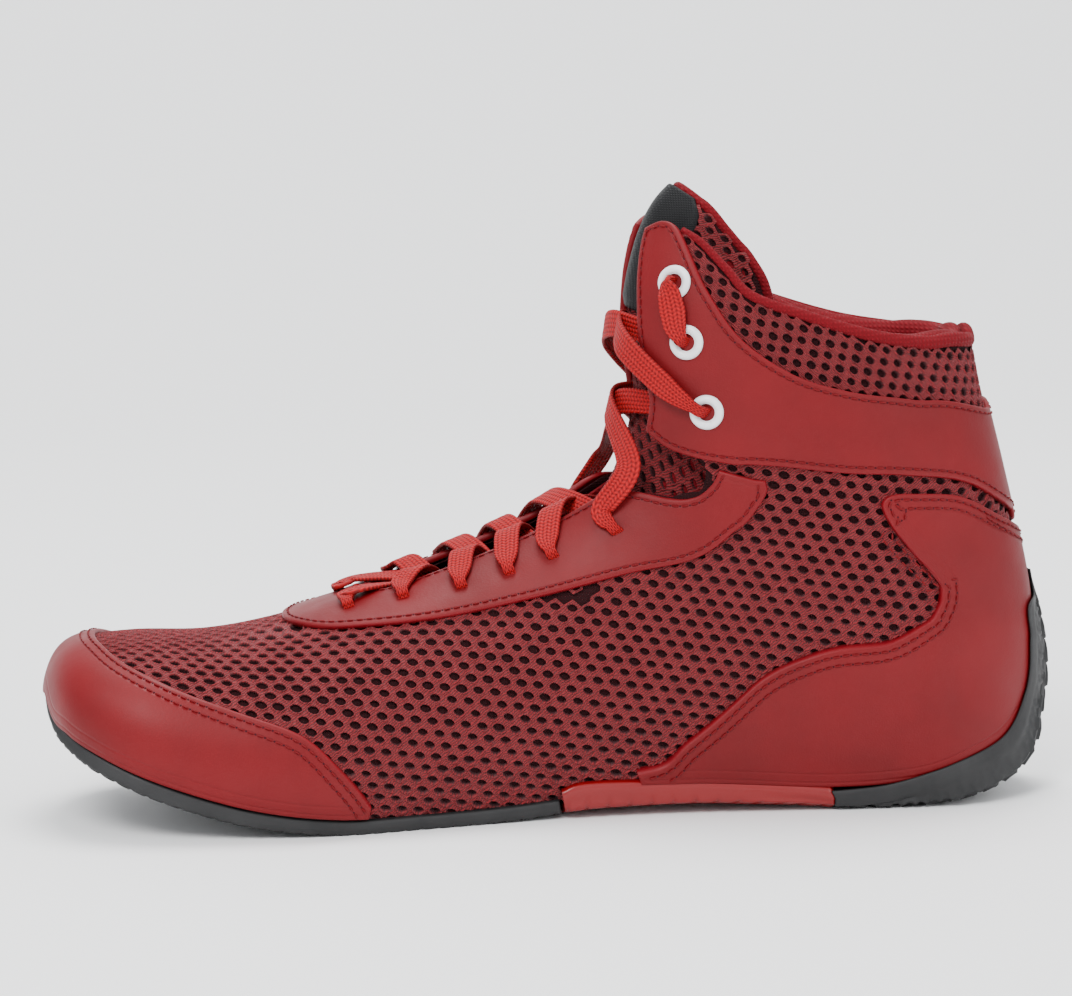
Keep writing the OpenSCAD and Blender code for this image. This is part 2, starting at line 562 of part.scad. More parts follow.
// One half of the lace, from the middle of the bar under the front holes to its end
function half_lace(side) = concat(
    [stop(ALL_HOLES[0][0], side, 0.03, below, 1, -1, 0, 0.3)],
    [for (i = [0:6]) let (s = side * pow(-1, i), flip = pow(-1, i), hole = ALL_HOLES[i], eyelet = i > 5)
        each concat(
            climb(hole, s, flip, eyelet ? below_washer : below, eyelet ? over_flange : over),
            cross_over(hole, ALL_HOLES[i + 1], s, flip, side * 0.9))],
    let (mid = EYELETS[1], top = EYELETS[2]) [
        stop(mid[0], -side, mid[1] - 0.05, below_washer, -1, -1, 0, 0.5),
        stop(mid[0], -side, mid[1], below_washer + 0.7, -1, 0, 1, 1),
        stop(mid[0], -side, mid[1], over_flange - 1.2, -1, 0, 1, 1),
        stop(mid[0] + 0.08, -side, mid[1], over_flange + 0.5, -1, 1, 1, 0.8),
        stop(mid[0] + 0.3, -side, mid[1] - 0.01, over_flange + 0.5, -1, 1, 0.2, 0.3),
        stop(mix(mid[0], top[0], 0.5), -side, mix(mid[1], top[1], 0.5), over_flange + 0.2, -1, 1, 0.3, 0.1),
        stop(top[0] - 0.3, -side, top[1] + 0.01, over_flange + 0.5, -1, 1, 0.2, 0.3),
        stop(top[0] - 0.08, -side, top[1], over_flange + 0.5, -1, 1, -1, 0.8),
        stop(top[0], -side, top[1], over_flange - 1.2, -1, 0, -1, 1),
        stop(top[0], -side, top[1], below_washer + 0.5, -1, 0, -1, 1),
        each [for (p = TAIL) stop(p[0], -side, p[1], below_washer, -1, -1, 0, p[2])]
    ]
);
// The middle of the cord at a stop; where it is fully pinched it stands on the axis of its hole
function lace_centre(s) = s[5] == pinched_w
    ? boot_point(s[0], s[1], 0) + s[2] * outward(s[0], s[1]) : boot_point(s[0], s[1], s[2]);

// The eight-sided section of a flat cord
function ribbon_ring(centre, face, width_dir, w, t) = [
    for (p = [[0.5, 0.25], [0.38, 0.5], [-0.38, 0.5], [-0.5, 0.25], [-0.5, -0.25], [-0.38, -0.5],
        [0.38, -0.5], [0.5, -0.25]]) centre + width_dir * w * p[0] + face * t * p[1]
];
// A closed ribbon through rings of points
module swept(rings) {
    m = len(rings) - 1;
    n = len(rings[0]);
    faces = concat(
        [for (i = [0:m - 1], j = [0:n - 1], f = quad(i * n + j, i * n + (j + 1) % n,
            (i + 1) * n + (j + 1) % n, (i + 1) * n + j)) f],
        [for (j = [1:n - 2]) [0, j + 1, j]],
        [for (j = [1:n - 2]) [m * n, m * n + j, m * n + j + 1]]
    );
    solid([for (r = rings) each r], faces);
}
function tangent(points, i) =
    unit(points[min(i + 1, len(points) - 1)] - points[max(i - 1, 0)]);

module lace() {
    inner_half = half_lace(-1);
    outer_half = half_lace(1);
    stops = concat([for (i = [len(inner_half) - 1:-1:0]) inner_half[i]], outer_half);
    centres = [for (s = stops) lace_centre(s)];
    rings = [for (i = [0:len(stops) - 1]) let (s = stops[i], t = tangent(centres, i),
        wish = s[3] * outward(s[0], s[1]) + s[4] * round_boot(s[0], s[1]),
        face = unit(wish - (wish * t) * t))
        ribbon_ring(centres[i], face, cross(t, face), s[5], s[6])];
    color(bright_red) swept(rings);
}

// A moulded sleeve on each end of the lace
module aglets() {
    aglet_l = 22;
    aglet_d = 3;
    color(black) for (side = [-1, 1]) {
        end = boot_point(10.8, side * 0.43, below_washer - clear);
        along = unit(boot_point(10.4, side * 0.43, below_washer - clear) - end);
        translate(end + along * clear)
            rotate([0, acos(along[2]), atan2(along[1], along[0])])
                cylinder(d = aglet_d, h = aglet_l, $fn = 32);
    }
}

outsole_forefoot();
outsole_heel();
shank_bridge();
insole_board();
sockliner();
mesh_upper();
upper_lining();
toe_puff();
heel_counter();
toe_cap();
lace_guard();
ankle_band();
heel_overlay();
collar_mesh();
collar_foam();
collar_lining();
eyelets();
eyelet_washers();
tongue_mesh();
tongue_foam();
tongue_lining();
tongue_label();
lace();
aglets();
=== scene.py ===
"""The looks of the boxing boot: mesh fabric, coated leather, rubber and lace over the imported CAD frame."""

import math

import bpy
import numpy as np
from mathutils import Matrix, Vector, kdtree


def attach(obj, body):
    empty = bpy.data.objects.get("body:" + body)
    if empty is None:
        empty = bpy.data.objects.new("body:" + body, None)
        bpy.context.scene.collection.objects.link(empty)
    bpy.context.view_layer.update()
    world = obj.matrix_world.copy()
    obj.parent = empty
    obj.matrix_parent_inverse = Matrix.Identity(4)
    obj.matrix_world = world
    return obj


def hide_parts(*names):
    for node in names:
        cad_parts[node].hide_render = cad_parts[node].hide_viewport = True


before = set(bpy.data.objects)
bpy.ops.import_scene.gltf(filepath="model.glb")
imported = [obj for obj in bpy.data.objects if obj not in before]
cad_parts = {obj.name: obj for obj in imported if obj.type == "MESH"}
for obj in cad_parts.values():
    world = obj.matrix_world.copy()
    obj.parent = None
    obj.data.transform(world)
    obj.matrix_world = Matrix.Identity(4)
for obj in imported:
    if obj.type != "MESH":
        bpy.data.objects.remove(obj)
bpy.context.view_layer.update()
scene = bpy.context.scene
MM = 0.001

# ---- Driving dimensions, in millimetres
GAP = 0.1
LAYER_GAP = 0.6
MESH_T = 1.4
OVERLAY_GAP = 0.3
HEEL_GAP = 0.6
OVERLAY_T = 1.4
OVERLAY_TOP = OVERLAY_GAP + OVERLAY_T
LINING_DEPTH = 3.3
LINING_T = 0.8
FOAM_OUTER = -LINING_DEPTH - LINING_T - LAYER_GAP
SOLE_GAP = 0.3
THINNEST_SOLE = 0.4
TONGUE_FOAM_T = 3
LACE_W = 8
LACE_T = 1.4
LACE_CLEAR = 0.35
OVER = OVERLAY_TOP + LACE_T / 2 + LACE_CLEAR
BELOW = FOAM_OUTER - LACE_T / 2 - LACE_CLEAR
FLANGE_T = 1.25
OVER_FLANGE = OVER + FLANGE_T
WASHER_T = 0.4
BELOW_WASHER = BELOW - WASHER_T - LACE_CLEAR
LACE_HOLE_R = 2.7
BOOT_LENGTH = 296
TOE_EDGE = 1.5
SECTION_FULLNESS = 0.85
BACK_CROWN = 1
SHELL_END = 16
INNER = -1
OUTER = 1

# ---- The shape of the boot, as in the CAD: lower line x, z; ridge line x, z; inner half width; outer half
# width; y of the middle; angle in degrees at which the side meets the sole
STATIONS = np.array([
    [0, 36, 0, 36, 0, 0, -9, -22],
    [4, 29.5, 3, 46, 21, 21, -9, -22],
    [13, 24, 10, 50.5, 33, 35, -8, -22],
    [30, 16.5, 25, 52, 41.5, 45.5, -7, -22],
    [55, 8.5, 47, 51.5, 46.5, 51.3, -4.5, -24],
    [80, 4.5, 69, 55, 48.5, 52.8, -2, -26],
    [105, 4, 92, 62, 45.5, 51, 0, -28],
    [130, 4.5, 115, 70, 41, 49, 1, -30],
    [155, 6, 135, 78.5, 37, 45, 1, -32],
    [185, 7, 149, 87, 35, 41, 0.5, -32],
    [215, 7, 157, 96, 34.5, 38, 0, -32],
    [243, 7, 161, 105, 34.5, 36, 0, -34],
    [265, 9, 163, 113, 35, 35.5, 0, -40],
    [281, 15, 164, 120, 35, 35, 0, -60],
    [287.5, 28, 164.5, 127, 35, 35, 0, -80],
    [289, 42, 165, 133, 35, 35, 0, -80],
    [287.5, 58, 165.5, 140, 35, 35, 0, -80],
    [284, 76, 167, 148, 34.5, 34.5, 0, -80],
    [278.5, 99, 169, 157, 33, 33, 0, -80],
    [273.5, 119, 172, 166, 30.5, 30.5, 0, -80],
    [270, 137, 177, 175, 28, 28, 0, -80],
    [267, 150, 184, 182, 26, 26, 0, -80],
])
TOE_MIRROR = STATIONS[1][[2, 3, 0, 1, 4, 5, 6, 7]] * [1, 1, 1, 1, -1, -1, 1, 1]
STATION_KEYS = np.vstack([TOE_MIRROR, STATIONS, 2 * STATIONS[-1] - STATIONS[-2]])


def unit(v):
    """The same directions, each of length one."""
    return v / np.maximum(np.linalg.norm(v, axis=-1, keepdims=True), 1e-9)


def smoothstep(x):
    x = np.clip(x, 0, 1)
    return x * x * (3 - 2 * x)


def curve(keys, i, t):
    """A smooth curve through four neighbouring keys, and its slope."""
    a, b, c, d = (keys[i + n] for n in range(4))
    t = t[..., None]
    value = b + 0.5 * ((c - a) * t + (2 * a - 5 * b + 4 * c - d) * t**2 + (3 * b - a - 3 * c + d) * t**3)
    slope = 0.5 * ((c - a) + 2 * (2 * a - 5 * b + 4 * c - d) * t + 3 * (3 * b - a - 3 * c + d) * t**2)
    return value, slope


def through(keys, x):
    """The smooth curve through a list of keys, at x counted in keys."""
    keys = np.asarray(keys, float)
    keys = np.vstack([2 * keys[0] - keys[1], keys, 2 * keys[-1] - keys[-2]])
    x = np.asarray(x, float)
    i = np.clip(np.floor(x).astype(int), 0, len(keys) - 4)
    return curve(keys, i, x - i)[0]


def lookup(x, pairs):
    """Straight lines through [x, value] pairs."""
    pairs = np.asarray(pairs, float)
    return np.interp(x, pairs[:, 0], pairs[:, 1])


def boot_point(station, turn, depth=0.0):
    """A point of the boot. station runs from toe to top; turn is 0 on the ridge, 1 at the sole's outer edge,
    -1 at its inner edge and 2 in the middle of the sole or heel; depth is outward from the mesh."""
    station, turn, depth = np.broadcast_arrays(*(np.asarray(v, float) for v in (station, turn, depth)))
    i = np.clip(np.floor(station).astype(int), 0, len(STATIONS) - 2)
    row, slope = curve(STATION_KEYS, i, station - i)
    low_n = unit(np.stack([slope[..., 1], -slope[..., 0]], -1))
    ridge_n = unit(np.stack([-slope[..., 3], slope[..., 2]], -1))
    low = row[..., 0:2] + depth[..., None] * low_n
    ridge = row[..., 2:4] + depth[..., None] * ridge_n
    t = turn - 4 * np.floor((turn + 2) / 4)
    half = np.where(t < 0, row[..., 4], row[..., 5])
    growth = np.where(t < 0, slope[..., 4], slope[..., 5])
    pace = np.hypot(slope[..., 0] + slope[..., 2], slope[..., 1] + slope[..., 3]) / 2
    width = half + depth * pace / np.hypot(pace, growth)
    start = np.clip(row[..., 7], -80, 0)
    chord = np.maximum(np.linalg.norm(ridge - low, axis=-1), 1)
    crown = BACK_CROWN * np.clip((-start - 40) / 40, 0, 1) / chord
    under = np.maximum(np.abs(t) - 1, 0)
    angle = np.radians(90 - (90 - start) * np.minimum(np.abs(t), 1))
    lowest = np.sin(np.radians(start))
    rise = (np.sin(angle) - lowest) / (1 - lowest)
    up = np.where(under > 0, crown * (1 - under) ** 2, crown + (1 - crown) * rise)[..., None]
    out = np.maximum(np.cos(angle), 0) ** SECTION_FULLNESS * (1 - under)
    xz = low * (1 - up) + ridge * up
    y = row[..., 6] + np.where(t < 0, -1, 1) * width * out
    return np.stack([xz[..., 0] + TOE_EDGE - BOOT_LENGTH / 2, y, xz[..., 1]], -1)


def toward_top(station, turn, place=boot_point):
    return unit(place(station + 0.02, turn) - place(station - 0.02, turn))


def round_boot(station, turn, place=boot_point):
    return unit(place(station, turn + 0.01) - place(station, turn - 0.01))


def outward(station, turn, place=boot_point):
    return unit(np.cross(toward_top(station, turn, place), round_boot(station, turn, place)))


# Depth of the tongue's outside, as in the CAD
TONGUE_LEVEL = [[6, -7.7], [18.5, -7.7], [19.5, -5.5], [21, -3.6]]
TONGUE_CROWN = [[13, 0], [16.3, 3.6], [17, 5.8], [18.5, 6.2], [19.5, 4.5], [21, 3]]
TONGUE_TUCK = [[12.5, 0], [14, 4], [19, 5.4], [19.5, 5.4]]
TUCK_SHARE = [[0.16, 0], [0.3, 1]]
CROWN_HALF_TURN = 0.13


def tongue_depth(station, turn):
    """How far the tongue's outside lies from the boot's surface."""
    crowned = np.cos(np.pi / 2 * np.minimum(np.abs(turn) / CROWN_HALF_TURN, 1))
    level = lookup(station, TONGUE_LEVEL) + lookup(station, TONGUE_CROWN) * crowned
    return level - lookup(station, TONGUE_TUCK) * lookup(np.abs(turn), TUCK_SHARE)


def tongue_point(station, turn, depth=0.0):
    return boot_point(station, turn, depth + tongue_depth(station, turn))


# ---- Lines on the boot, as in the CAD: [station, turn] on the inner side
THROAT = [[6.2, 0.09], [7, 0.1], [8.2, 0.125], [9.5, 0.17], [10.4, 0.23], [11.4, 0.34],
          [12.3, 0.37], [13, 0.34], [13.6, 0.24], [15, 0.18], [17, 0.14], [19.6, 0.09]]
JOIN = [[0, 16], [0.3, 16], [0.5, 16.7], [0.7, 17.6], [1, 18], [2, 18]]
TOE_CAP_LOW = [[5.35, -0.975], [4.9, -0.975], [4.3, -0.975], [3.7, -0.975], [3.1, -0.975],
               [2.5, -0.975], [1.9, -0.97], [1.2, -0.96], [0.5, -0.92], [0.02, 0]]
TOE_CAP_TOP = [[5.4, -0.93], [5.3, -0.86], [5.15, -0.78], [4.9, -0.67], [4.6, -0.6],
               [4, -0.52], [3.3, -0.43], [2.7, -0.3], [2.4, -0.14], [2.3, 0]]
GUARD_LOW = [[14.2, -0.405], [13.4, -0.425], [12.4, -0.455], [11.5, -0.47], [10.6, -0.465],
             [9.4, -0.425], [7.9, -0.38], [6.6, -0.32], [5.6, -0.22], [5.15, -0.12], [4.96, 0]]
GUARD_TOP = [[13.45, -0.35], [12.9, -0.365], [12.1, -0.375], [11.4, -0.34], [10.4, -0.23],
             [9.5, -0.17], [8.2, -0.125], [7, -0.1], [6.35, -0.09], [6.17, -0.06], [6.12, 0]]
BAND_LOW = [[12.75, -0.21], [12.8, -0.265], [13.2, -0.31], [13.85, -0.35], [14.5, -0.39],
            [15.2, -0.445], [16, -0.53], [16.8, -0.635], [17.3, -0.76], [17.35, -0.91],
            [17.2, -1.3], [17.15, -2]]
BAND_TOP = [[19.2, -0.075], [19.55, -0.13], [19.55, -0.18], [19.1, -0.235], [18.3, -0.295],
            [17.65, -0.36], [17.5, -0.45], [17.75, -0.55], [18.2, -0.68], [18.6, -0.85],
            [18.8, -1.3], [18.85, -2]]
HEEL_LOW = [[8.5, -0.955], [8.8, -0.96], [9.2, -0.965], [9.7, -0.975], [10.2, -0.985],
            [10.8, -0.985], [11.4, -0.98], [11.9, -0.97], [12.4, -0.96], [12.8, -0.955], [13.1, -0.955],
            [13.4, -0.96], [13.6, -0.97], [13.8, -0.98], [14, -1.03], [14, -1.15], [14, -1.5], [14, -2]]
HEEL_TOP = [[8.5, -0.92], [8.8, -0.905], [9.15, -0.85], [9.9, -0.77], [10.6, -0.72],
            [11.5, -0.7], [12.8, -0.695], [13.8, -0.68], [14.6, -0.69], [15, -0.68], [15.2, -0.635],
            [15.5, -0.6], [15.9, -0.59], [16.4, -0.63], [17, -0.74], [17.1, -0.87], [17.1, -1.05], [17, -2]]
COLLAR_LOW = [[16.1, -0.19], [16.1, -0.25], [16.15, -0.32], [16.3, -0.38], [16.8, -0.5],
              [17.3, -0.62], [17.75, -0.75], [18.1, -0.92], [18.1, -1.4], [18.1, -2]]
COLLAR_TOP = [[19.55, -0.19], [19.45, -0.25], [19.1, -0.32], [18.75, -0.38], [18.9, -0.5],
              [19.1, -0.62], [19.4, -0.75], [19.75, -0.92], [19.9, -1.4], [19.95, -2]]
PAD_LOW = [[14.2, -0.52], [14.4, -0.58], [14.8, -0.69], [15.1, -0.8], [15.5, -0.96], [15.5, -1.4],
           [15.5, -2]]
PAD_TOP = [[18.8, -0.41]] + COLLAR_TOP[4:]
LACE_HOLES = [[5.75, 0.12], [6.4, 0.18], [7.1, 0.24], [7.75, 0.265], [8.45, 0.28], [9.8, 0.32]]
EYELETS = [[15.05, 0.3], [16.8, 0.255], [18.15, 0.215]]
TONGUE_FRONT = 5.95
TONGUE_EDGE = [[TONGUE_FRONT, -0.18], [7.5, -0.24], [9, -0.3], [10.5, -0.4], [12, -0.46], [13.5, -0.45],
               [15, -0.42], [17, -0.42], [19, -0.4], [19.8, -0.34], [20.4, -0.25], [20.75, -0.13]]
LABEL_EDGE = [[16.6, -0.12], [17.4, -0.13], [19, -0.17], [20.2, -0.18], [20.7, -0.13]]
FOREFOOT_EDGE = [[k, -0.99] for k in (0.15, 0.5, 1, 1.6, 2.3, 3, 4, 5, 6, 7, 7.6)]
SHANK_EDGE = [[7.65, -0.955], [7.9, -0.94], [8.5, -0.95], [9.3, -0.965], [10.35, -0.985]]
HEEL_EDGE = [[10.36, -0.985], [11, -0.975], [11.7, -0.955], [12.5, -0.94], [13.2, -0.935],
             [13.8, -0.93], [14.4, -0.925], [15.1, -0.92], [15.8, -0.94], [16.4, -1.2]]
INSOLE_EDGE = [[k, -1] for k in (1.1, 1.5, 2, 3, 4, 5, 6, 7, 8, 9, 10, 11, 11.8, 12.3)]
SOLE_THICKNESS = [[0, 0.5], [0.5, 2], [1, 3.6], [2, 5.3], [3, 5.7], [4, 5.6], [5, 5], [6, 4.5],
                  [7, 4.7], [8, 4], [9, 4.5], [10, 5.8], [10.5, 7], [11, 7.3], [12, 7.2], [13, 7], [14, 6.8],
                  [15, 5.4], [16, 3.6], [16.5, 2.4]]


def across_ridge(edge):
    """An edge continued over the ridge on the other side of the boot."""
    return edge + [[k, -c] for k, c in edge[-2::-1]]


def across_back(edge):
    """An edge continued round the back on the other side of the boot."""
    return edge + [[k, -4 - c] for k, c in edge[-2::-1]]


def other_side(edge):
    """The same edge on the other side of the boot, reached under the sole or round the heel."""
    return [[k, -4 - c] for k, c in edge]


def search_tree(points):
    """A tree that finds the nearest of the points."""
    tree = kdtree.KDTree(len(points))
    for i, point in enumerate(points):
        tree.insert(point, i)
    tree.balance()
    return tree


# ---- Making pieces
def make(name, points, faces, material, nodes=(), body="boot", values=None, smooth=True):
    """A mesh piece from points in millimetres, riding on a body and standing for CAD nodes."""
    mesh = bpy.data.meshes.new(name)
    mesh.from_pydata((np.asarray(points) * MM).tolist(), [], np.asarray(faces).tolist())
    for key, value in (values or {}).items():
        vector = np.ndim(value) > 1
        attribute = mesh.attributes.new(key, "FLOAT_VECTOR" if vector else "FLOAT", "POINT")
        attribute.data.foreach_set("vector" if vector else "value", np.asarray(value, np.float32).ravel())
    if smooth:
        mesh.shade_smooth()
    piece = bpy.data.objects.new(name, mesh)
    scene.collection.objects.link(piece)
    for each in material if isinstance(material, list) else [material]:
        mesh.materials.append(each)
    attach(piece, body)
    if nodes:
        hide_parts(*nodes)
    return piece


def grid_faces(rows, columns, first=0, closed=False):
    """Quads over a grid of points; closed joins the last column to the first."""
    i, j = np.meshgrid(np.arange(rows - 1), np.arange(columns - (0 if closed else 1)), indexing="ij")
    here = i.ravel() * columns
    j = j.ravel()
    k = (j + 1) % columns
    return first + np.stack([here + j, here + columns + j, here + columns + k, here + k], 1)


def repeated(faces, count, size, first=0):
    """The faces of one small shape, repeated over a count of shapes with size points each."""
    return (faces[None] + first + (np.arange(count) * size)[:, None, None]).reshape(-1, 4)


def facing(points, faces, away):
    """The faces, all turned over if they look against the directions in away."""
    a, b, c = (points[faces[:, n]] for n in range(3))
    turned = np.sum(np.cross(b - a, c - a) * away[faces[:, 0]]) < 0
    return faces[:, ::-1] if turned else faces


def shell(outer, inner):
    """The points and faces of a closed shell from two grids of one size, with a wall round the border."""
    rows, columns = outer.shape[:2]
    points = np.vstack([outer.reshape(-1, 3), inner.reshape(-1, 3)])
    away = np.vstack([(outer - inner).reshape(-1, 3), (inner - outer).reshape(-1, 3)])
    top = facing(points, grid_faces(rows, columns), away)
    turned = not np.array_equal(top, grid_faces(rows, columns))
    bottom = top[:, ::-1] + rows * columns
    border = border_of(rows, columns)
    ahead = np.roll(border, -1)
    back = rows * columns
    wall = np.stack([ahead, border, border + back, ahead + back], 1)
    return points, np.vstack([top, bottom, wall if turned else wall[:, ::-1]])


def border_of(rows, columns):
    """The indices of a grid's border, in order."""
    index = np.arange(rows * columns).reshape(rows, columns)
    return np.concatenate([index[0, :-1], index[:-1, -1], index[-1, :0:-1], index[:0:-1, 0]])


def edge_distance(points, border, step=0.15):
    """Distance from each point to a closed line."""
    dense = []
    for a, b in zip(border, np.roll(border, -1, axis=0)):
        count = max(int(np.linalg.norm(b - a) / step), 1)
        dense.append(a + (b - a) * (np.arange(count) / count)[:, None])
    tree = search_tree(np.vstack(dense))
    return np.array([tree.find(p)[2] for p in points]), tree


# ---- Panels between two edges
ROLL_STEPS = np.array([0, 0.12, 0.3, 0.6, 1.0])
ROLL_R = 0.8
DIP = 0.5
DIP_REACH = 2.2
UNDERSIDE = -0.3


def fractions(count, length, slant=1.0):
    """Fractions from 0 to 1: close together at both ends, at ROLL_STEPS millimetres, and even between."""
    near = np.minimum(ROLL_STEPS / (length * slant), 0.3 * ROLL_STEPS / ROLL_STEPS[-1])
    middle = np.linspace(near[-1], 1 - near[-1], count)
    return np.concatenate([near[:-1], middle, 1 - near[-2::-1]])


def panel_spots(edge_a, edge_b, spacing, place=boot_point):
    """A grid of [station, turn] between two edges, with rows close together along the border."""
    reach = len(edge_a) - 1
    u = np.linspace(0, reach, 60)
    a = through(edge_a, u)
    b = through(edge_b, u)
    middle = place(*((a + b) / 2).T)
    length = np.linalg.norm(np.diff(middle, axis=0), axis=1).sum()
    s = np.linspace(0, 1, 12)[:, None, None]
    cross = place(*np.moveaxis(a * (1 - s) + b * s, -1, 0))
    widths = np.linalg.norm(np.diff(cross, axis=0), axis=2).sum(0)
    along = fractions(int(length / spacing), length) * reach
    a = through(edge_a, along)
    b = through(edge_b, along)
    width = np.interp(along, u, widths)
    steps = np.array([fractions(int(widths.max() / spacing), max(w, 0.5)) for w in width])[..., None]
    return a[:, None] * (1 - steps) + b[:, None] * steps


def overlay(name, edge_a, edge_b, holes=(), hole_r=0.0):
    """A leather overlay with a rolled edge. Returns the piece and the tree of its border."""
    spots = panel_spots(edge_a, edge_b, 1.2)
    rows, columns = spots.shape[:2]
    k, c = spots[..., 0], spots[..., 1]
    on_mesh = boot_point(k, c)
    flat = on_mesh.reshape(-1, 3)
    border = flat[border_of(rows, columns)]
    distance, tree = edge_distance(flat, border)
    roll = np.sqrt(1 - (1 - np.clip(distance / ROLL_R, 0, 1)) ** 2).reshape(rows, columns)
    gap = HEEL_GAP if name == "heel_overlay" else OVERLAY_GAP
    height = gap + OVERLAY_T * (0.5 + 0.5 * roll)
    top = boot_point(k, c, height)
    for spot in holes:
        for side in (INNER, OUTER):
            centre = boot_point(spot[0], side * spot[1])
            off = np.linalg.norm(on_mesh - centre, axis=-1)
            dip = DIP * np.clip(1 - off / (DIP_REACH * hole_r), 0, 1) ** 2
            top = top - outward(k, c) * dip[..., None]
    points, faces = shell(top, boot_point(k, c, np.full_like(k, UNDERSIDE)))
    values = {"edge": np.concatenate([distance, np.zeros_like(distance)])}
    piece = make(name, points, faces, MATERIALS["leather"](name in DOUBLE_STITCHED),
                 [name], values=values)
    return piece, tree


# ---- Stitching
STITCH_PITCH = 2.8
STITCH_L = 2.0
STITCH_R = 0.28
NEEDLE_R = 0.3
STITCH_ROWS = (1.8, 4.4)
THREAD_SIDES = 6
THREAD_PROFILE = np.array([[-0.5, 0.1], [-0.42, 0.7], [-0.2, 1], [0.2, 1], [0.42, 0.7], [0.5, 0.1]])
DOUBLE_STITCHED = ("toe_cap", "heel_overlay")


def shifted_line(edge, distance, toward):
    """A fine copy of an edge, moved sideways over the boot by a distance towards the other edge."""
    x = np.linspace(0, 1, 700)
    line = through(edge, x * (len(edge) - 1))
    goal = through(toward, x * (len(toward) - 1))
    k, c = line.T
    step = 0.01
    dk = (boot_point(k + step, c) - boot_point(k - step, c)) / (2 * step)
    dc = (boot_point(k, c + step) - boot_point(k, c - step)) / (2 * step)
    tangent = unit(np.gradient(boot_point(k, c), axis=0))
    normal = unit(np.cross(dk, dc))
    aside = np.cross(normal, tangent)
    aside *= np.sign(np.sum(aside * (boot_point(*goal.T) - boot_point(k, c)), axis=1))[:, None]
    kk, kc, cc = (np.sum(p * q, axis=1) for p, q in ((dk, dk), (dk, dc), (dc, dc)))
    wk, wc = (np.sum(p * aside, axis=1) for p in (dk, dc))
    det = np.maximum(kk * cc - kc**2, 1e-9)
    return line + distance * np.stack([(cc * wk - kc * wc) / det, (kk * wc - kc * wk) / det], 1)


def even_along(line, pitch):
    """Spots at an even pitch along a line of [station, turn]."""
    points = boot_point(*line.T)
    run = np.concatenate([[0], np.cumsum(np.linalg.norm(np.diff(points, axis=0), axis=1))])
    at = np.arange(pitch / 2, run[-1], pitch)
    return np.stack([np.interp(at, run, line[:, 0]), np.interp(at, run, line[:, 1])], 1)


def ring_round(a, b):
    """Directions round a circle in the plane of a and b, at each spot."""
    angle = np.linspace(0, 2 * np.pi, THREAD_SIDES + 1)[:-1]
    return a[:, None] * np.cos(angle)[None, :, None] + b[:, None] * np.sin(angle)[None, :, None]


def threads(centre, forward, up, aside):
    """The points of a short sunk thread at each centre."""
    around = ring_round(aside, 0.8 * up)
    rings = []
    for x, r in THREAD_PROFILE:
        offset = forward * x * STITCH_L + up * (0.12 + 0.12 * (1 - abs(x)))
        rings.append((centre + offset)[:, None] + STITCH_R * r * around)
    return np.stack(rings, 1).reshape(-1, 3)


def stitches(name, lines, tree, margin, depth):
    """Short sunk threads, and flat dark disks between them as painted shade for the needle holes, along lines
    of [station, turn].
    """
    thread_faces = grid_faces(len(THREAD_PROFILE), THREAD_SIDES, closed=True)
    hole_faces = np.array([[0, 1, 2, 3], [0, 3, 4, 5]])
    points, faces, index, count = [], [], [], 0
    for line in lines:
        k, c = even_along(line, STITCH_PITCH).T
        kept = np.array([tree.find(p)[2] > margin for p in boot_point(k, c)])
        k, c = k[kept], c[kept]
        if len(k) < 2:
            continue
        centre = boot_point(k, c, depth)
        forward = unit(np.gradient(centre, axis=0))
        up = outward(k, c)
        aside = unit(np.cross(up, forward))
        # flat disks, coloured dark as painted shade for the needle holes
        hole = centre + forward * STITCH_PITCH / 2 + up * 0.05
        holes = (hole[:, None] + NEEDLE_R * ring_round(aside, forward)).reshape(-1, 3)
        made = ((threads(centre, forward, up, aside), thread_faces), (holes, hole_faces))
        for material, (new_points, one) in enumerate(made):
            points.append(new_points)
            faces.append(repeated(one, len(k), len(new_points) // len(k), count))
            index.append(np.full(len(k) * len(one), material))
            count += len(new_points)
    piece = make(name, np.vstack(points), np.vstack(faces), [MATERIALS["thread"], MATERIALS["needle_hole_shade"]])
    piece.data.polygons.foreach_set("material_index", np.concatenate(index))
    return piece


def stitched_overlay(name, edge_a, edge_b, sewn, holes=()):
    """An overlay with stitch rows along the edges in sewn: 'a', 'b', and 'start' for its two ends."""
    piece, tree = overlay(name, edge_a, edge_b, holes, LACE_HOLE_R)
    rows = STITCH_ROWS if name in DOUBLE_STITCHED else STITCH_ROWS[:1]
    start = [list(edge_a[0]), list((np.array(edge_a[0]) + edge_b[0]) / 2), list(edge_b[0])]
    far = [list(p) for p in (edge_a[2], (np.array(edge_a[2]) + edge_b[2]) / 2, edge_b[2])]
    other = [list(p) for p in np.array(start) * [1, -1] + [0, -4]]
    other_far = [list(p) for p in np.array(far) * [1, -1] + [0, -4]]
    pairs = {"a": [(edge_a, edge_b)], "b": [(edge_b, edge_a)], "start": [(start, far), (other, other_far)]}
    lines = [shifted_line(edge, row, toward) for key in sewn for edge, toward in pairs[key] for row in rows]
    top = OVERLAY_T + (HEEL_GAP if name == "heel_overlay" else OVERLAY_GAP)
    stitches(name + "_stitching", lines, tree, rows[0] - 0.35, top)
    return piece


# ---- Mesh fabric: a staggered lattice of oval holes, each with a raised loop of yarn
PITCH = 4.9
ROW = 3.3
HOLE_RX = 1.65
HOLE_RY = 1.1
FIT = 1.2
UNEVEN = 0.06
NEAR_MIDDLE = 0.1
CELL_POINTS = 12
ROW_SLOPE = math.radians(9)
COLLAR_SLOPE = math.radians(8)
RINGS = ((1.0, None, -0.05), (0.55, None, 0.0), (0.22, 1, 0.34), (0.0, 1, 0.1), (-0.06, 1, -1.05))


